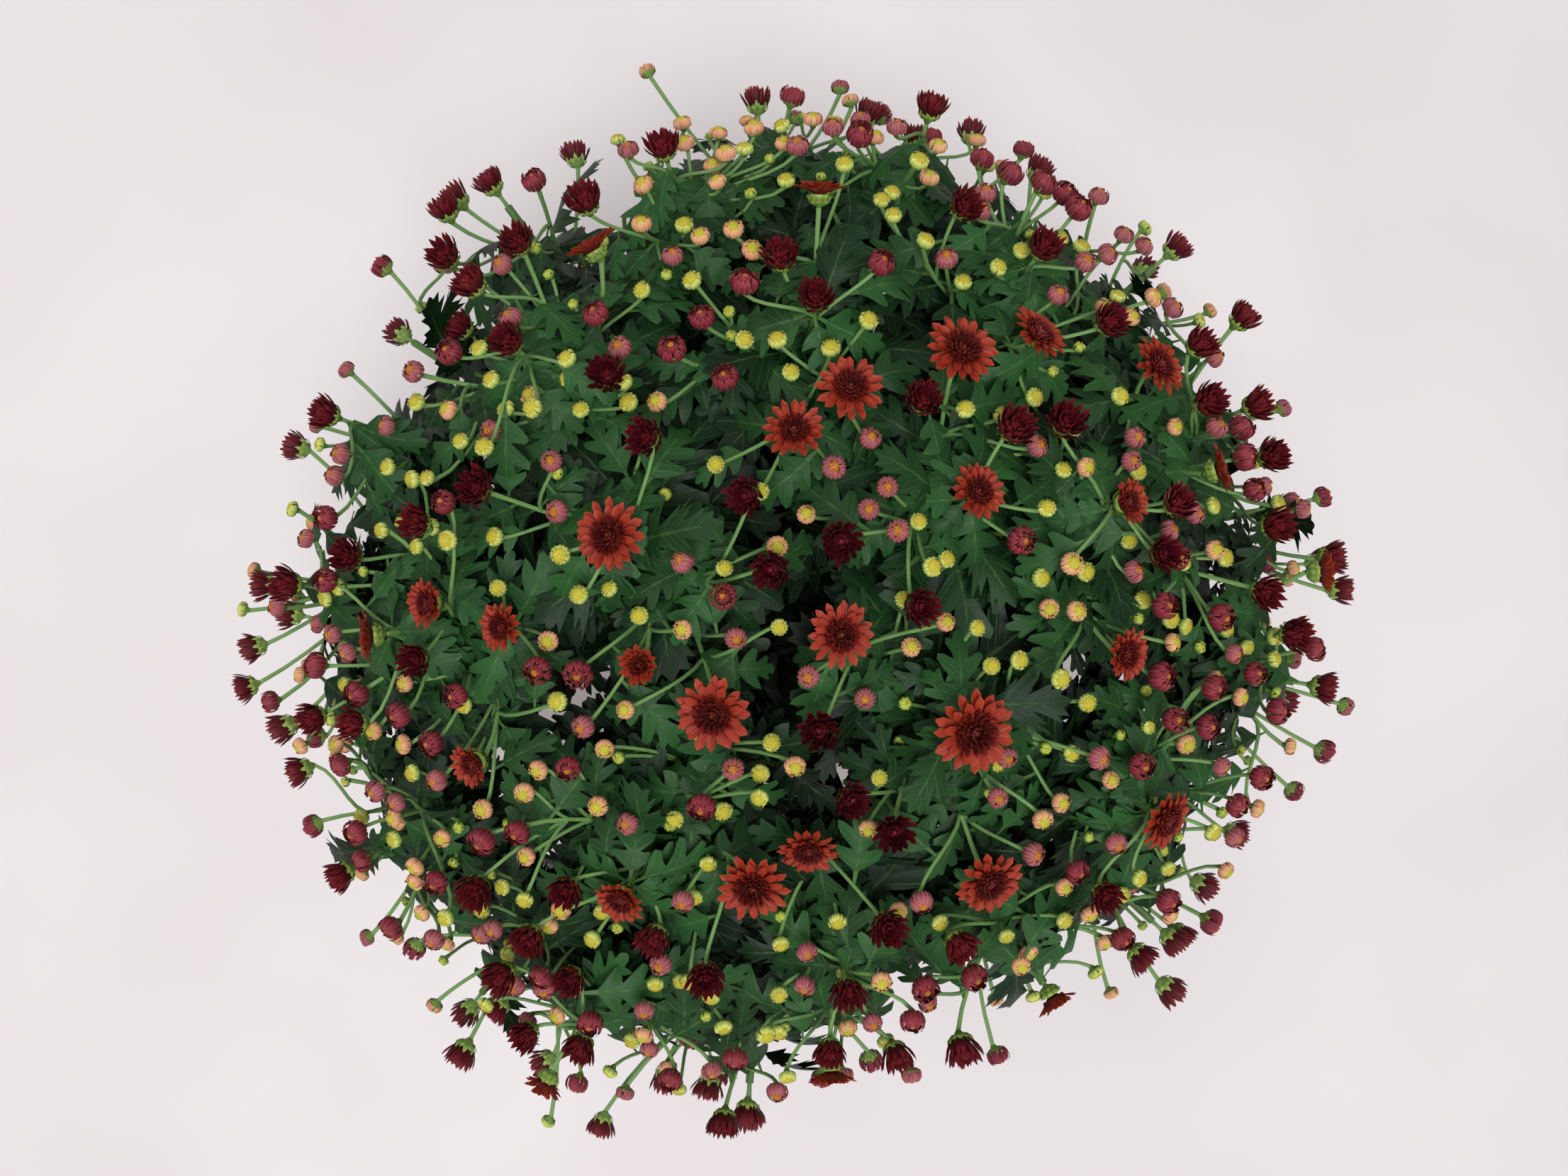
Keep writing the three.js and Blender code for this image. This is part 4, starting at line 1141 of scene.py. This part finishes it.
def drill(made):
    """Close the pot's mesh at its axis and cut its drain holes."""
    mesh = bmesh.new()
    mesh.from_mesh(made.data)
    bmesh.ops.remove_doubles(mesh, verts=mesh.verts[:], dist=0.00005)
    bmesh.ops.recalc_face_normals(mesh, faces=mesh.faces[:])
    mesh.to_mesh(made.data)
    mesh.free()
    cutters = bmesh.new()
    radius = DRAIN_HOLE_R * TO_METRES
    for i in range(DRAIN_HOLES):
        place = outward(i / DRAIN_HOLES * 2 * math.pi) * DRAIN_CIRCLE_R * TO_METRES
        bmesh.ops.create_cone(
            cutters, cap_ends=True, segments=24, radius1=radius, radius2=radius,
            depth=4 * POT_FLOOR * TO_METRES, matrix=Matrix.Translation(place),
        )
    data = bpy.data.meshes.new("drain_cutters")
    cutters.to_mesh(data)
    cutters.free()
    tool = show("drain_cutters", data)
    cut = made.modifiers.new("drain_holes", "BOOLEAN")
    cut.operation = "DIFFERENCE"
    cut.object = tool
    shown = made.evaluated_get(bpy.context.evaluated_depsgraph_get())
    drilled = bpy.data.meshes.new_from_object(shown)
    made.modifiers.clear()
    made.data = drilled
    bpy.data.objects.remove(tool)
    for face in drilled.polygons:
        face.use_smooth = abs(face.normal.z) < 0.99 and len(face.vertices) < 5


POT = pot_material()
SOIL = soil_material()
inner = POT_MOUTH_R - POT_WALL
shelf = POT_HEIGHT - POT_RIM_DEPTH
pot = Build()
lathe(pot, np.zeros(3), UP, [
    [0, 0], [POT_BASE_R - 3, 0], [POT_BASE_R - 1, 0.6], [POT_BASE_R, 2.4],
    [POT_MOUTH_R - 1.2, shelf - 1], [POT_MOUTH_R, shelf - 0.2], [POT_RIM_R - 1.6, shelf + 0.4],
    [POT_RIM_R - 0.9, shelf + 1.6], [POT_RIM_R, POT_HEIGHT - 3], [POT_RIM_R - 0.6, POT_HEIGHT - 0.9],
    [POT_RIM_R - 2, POT_HEIGHT], [POT_RIM_R - 4, POT_HEIGHT - 0.2], [POT_RIM_R - 5, POT_HEIGHT - 1],
    [inner - 1, shelf], [POT_BASE_R - POT_WALL + 1, POT_FLOOR], [0, POT_FLOOR],
], 96, PLAIN, 0)
pot_made = pot.finish("growers_pot", [POT])
drill(pot_made)
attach(pot_made, "root")
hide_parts("pot")

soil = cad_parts["soil"]
soil.data.materials.clear()
soil.data.materials.append(SOIL)

# Floor, light and camera, in metres
FLOOR_CORNERS = [(-4, -4, 0), (4, -4, 0), (4, 4, 0), (-4, 4, 0)]
floor_material, floor_tree, floor_shader = material("floor_paper")
floor_paint = ramp(floor_tree, noise(floor_tree, 3.0), [(0.3, (228, 221, 223)), (0.7, (238, 232, 234))])
floor_tree.links.new(floor_paint, floor_shader.inputs["Base Color"])
floor_shader.inputs["Roughness"].default_value = 0.9
floor_mesh = bpy.data.meshes.new("floor")
floor_mesh.from_pydata(FLOOR_CORNERS, [], [(0, 1, 2, 3)])
floor_mesh.materials.append(floor_material)
floor = show("floor", floor_mesh)


def area_light(name, place, target, size, power):
    data = bpy.data.lights.new(name, "AREA")
    data.shape = "DISK"
    data.size = size
    data.energy = power
    made = show(name, data)
    made.location = place
    aim = Vector(target) - made.location
    made.rotation_euler = aim.to_track_quat("-Z", "Y").to_euler()


area_light("key", (0.15, -0.55, 2.4), (0, 0, 0.35), 1.1, 36)
area_light("fill", (-1.3, 1.0, 2.0), (0, 0, 0.35), 2.0, 11)
world = bpy.data.worlds.new("soft_room")
world.use_nodes = True
sky = world.node_tree.nodes["Background"]
sky.inputs["Color"].default_value = (1.0, 0.99, 0.985, 1)
sky.inputs["Strength"].default_value = 0.44
bpy.context.scene.world = world
bpy.context.scene.view_settings.view_transform = "Standard"

camera_data = bpy.data.cameras.new("camera")
camera_data.sensor_width = 36
camera_data.lens = 27.05
camera = show("camera", camera_data)
camera.location = (-0.007, 0.001, EYE_HEIGHT * TO_METRES)
bpy.context.scene.camera = camera
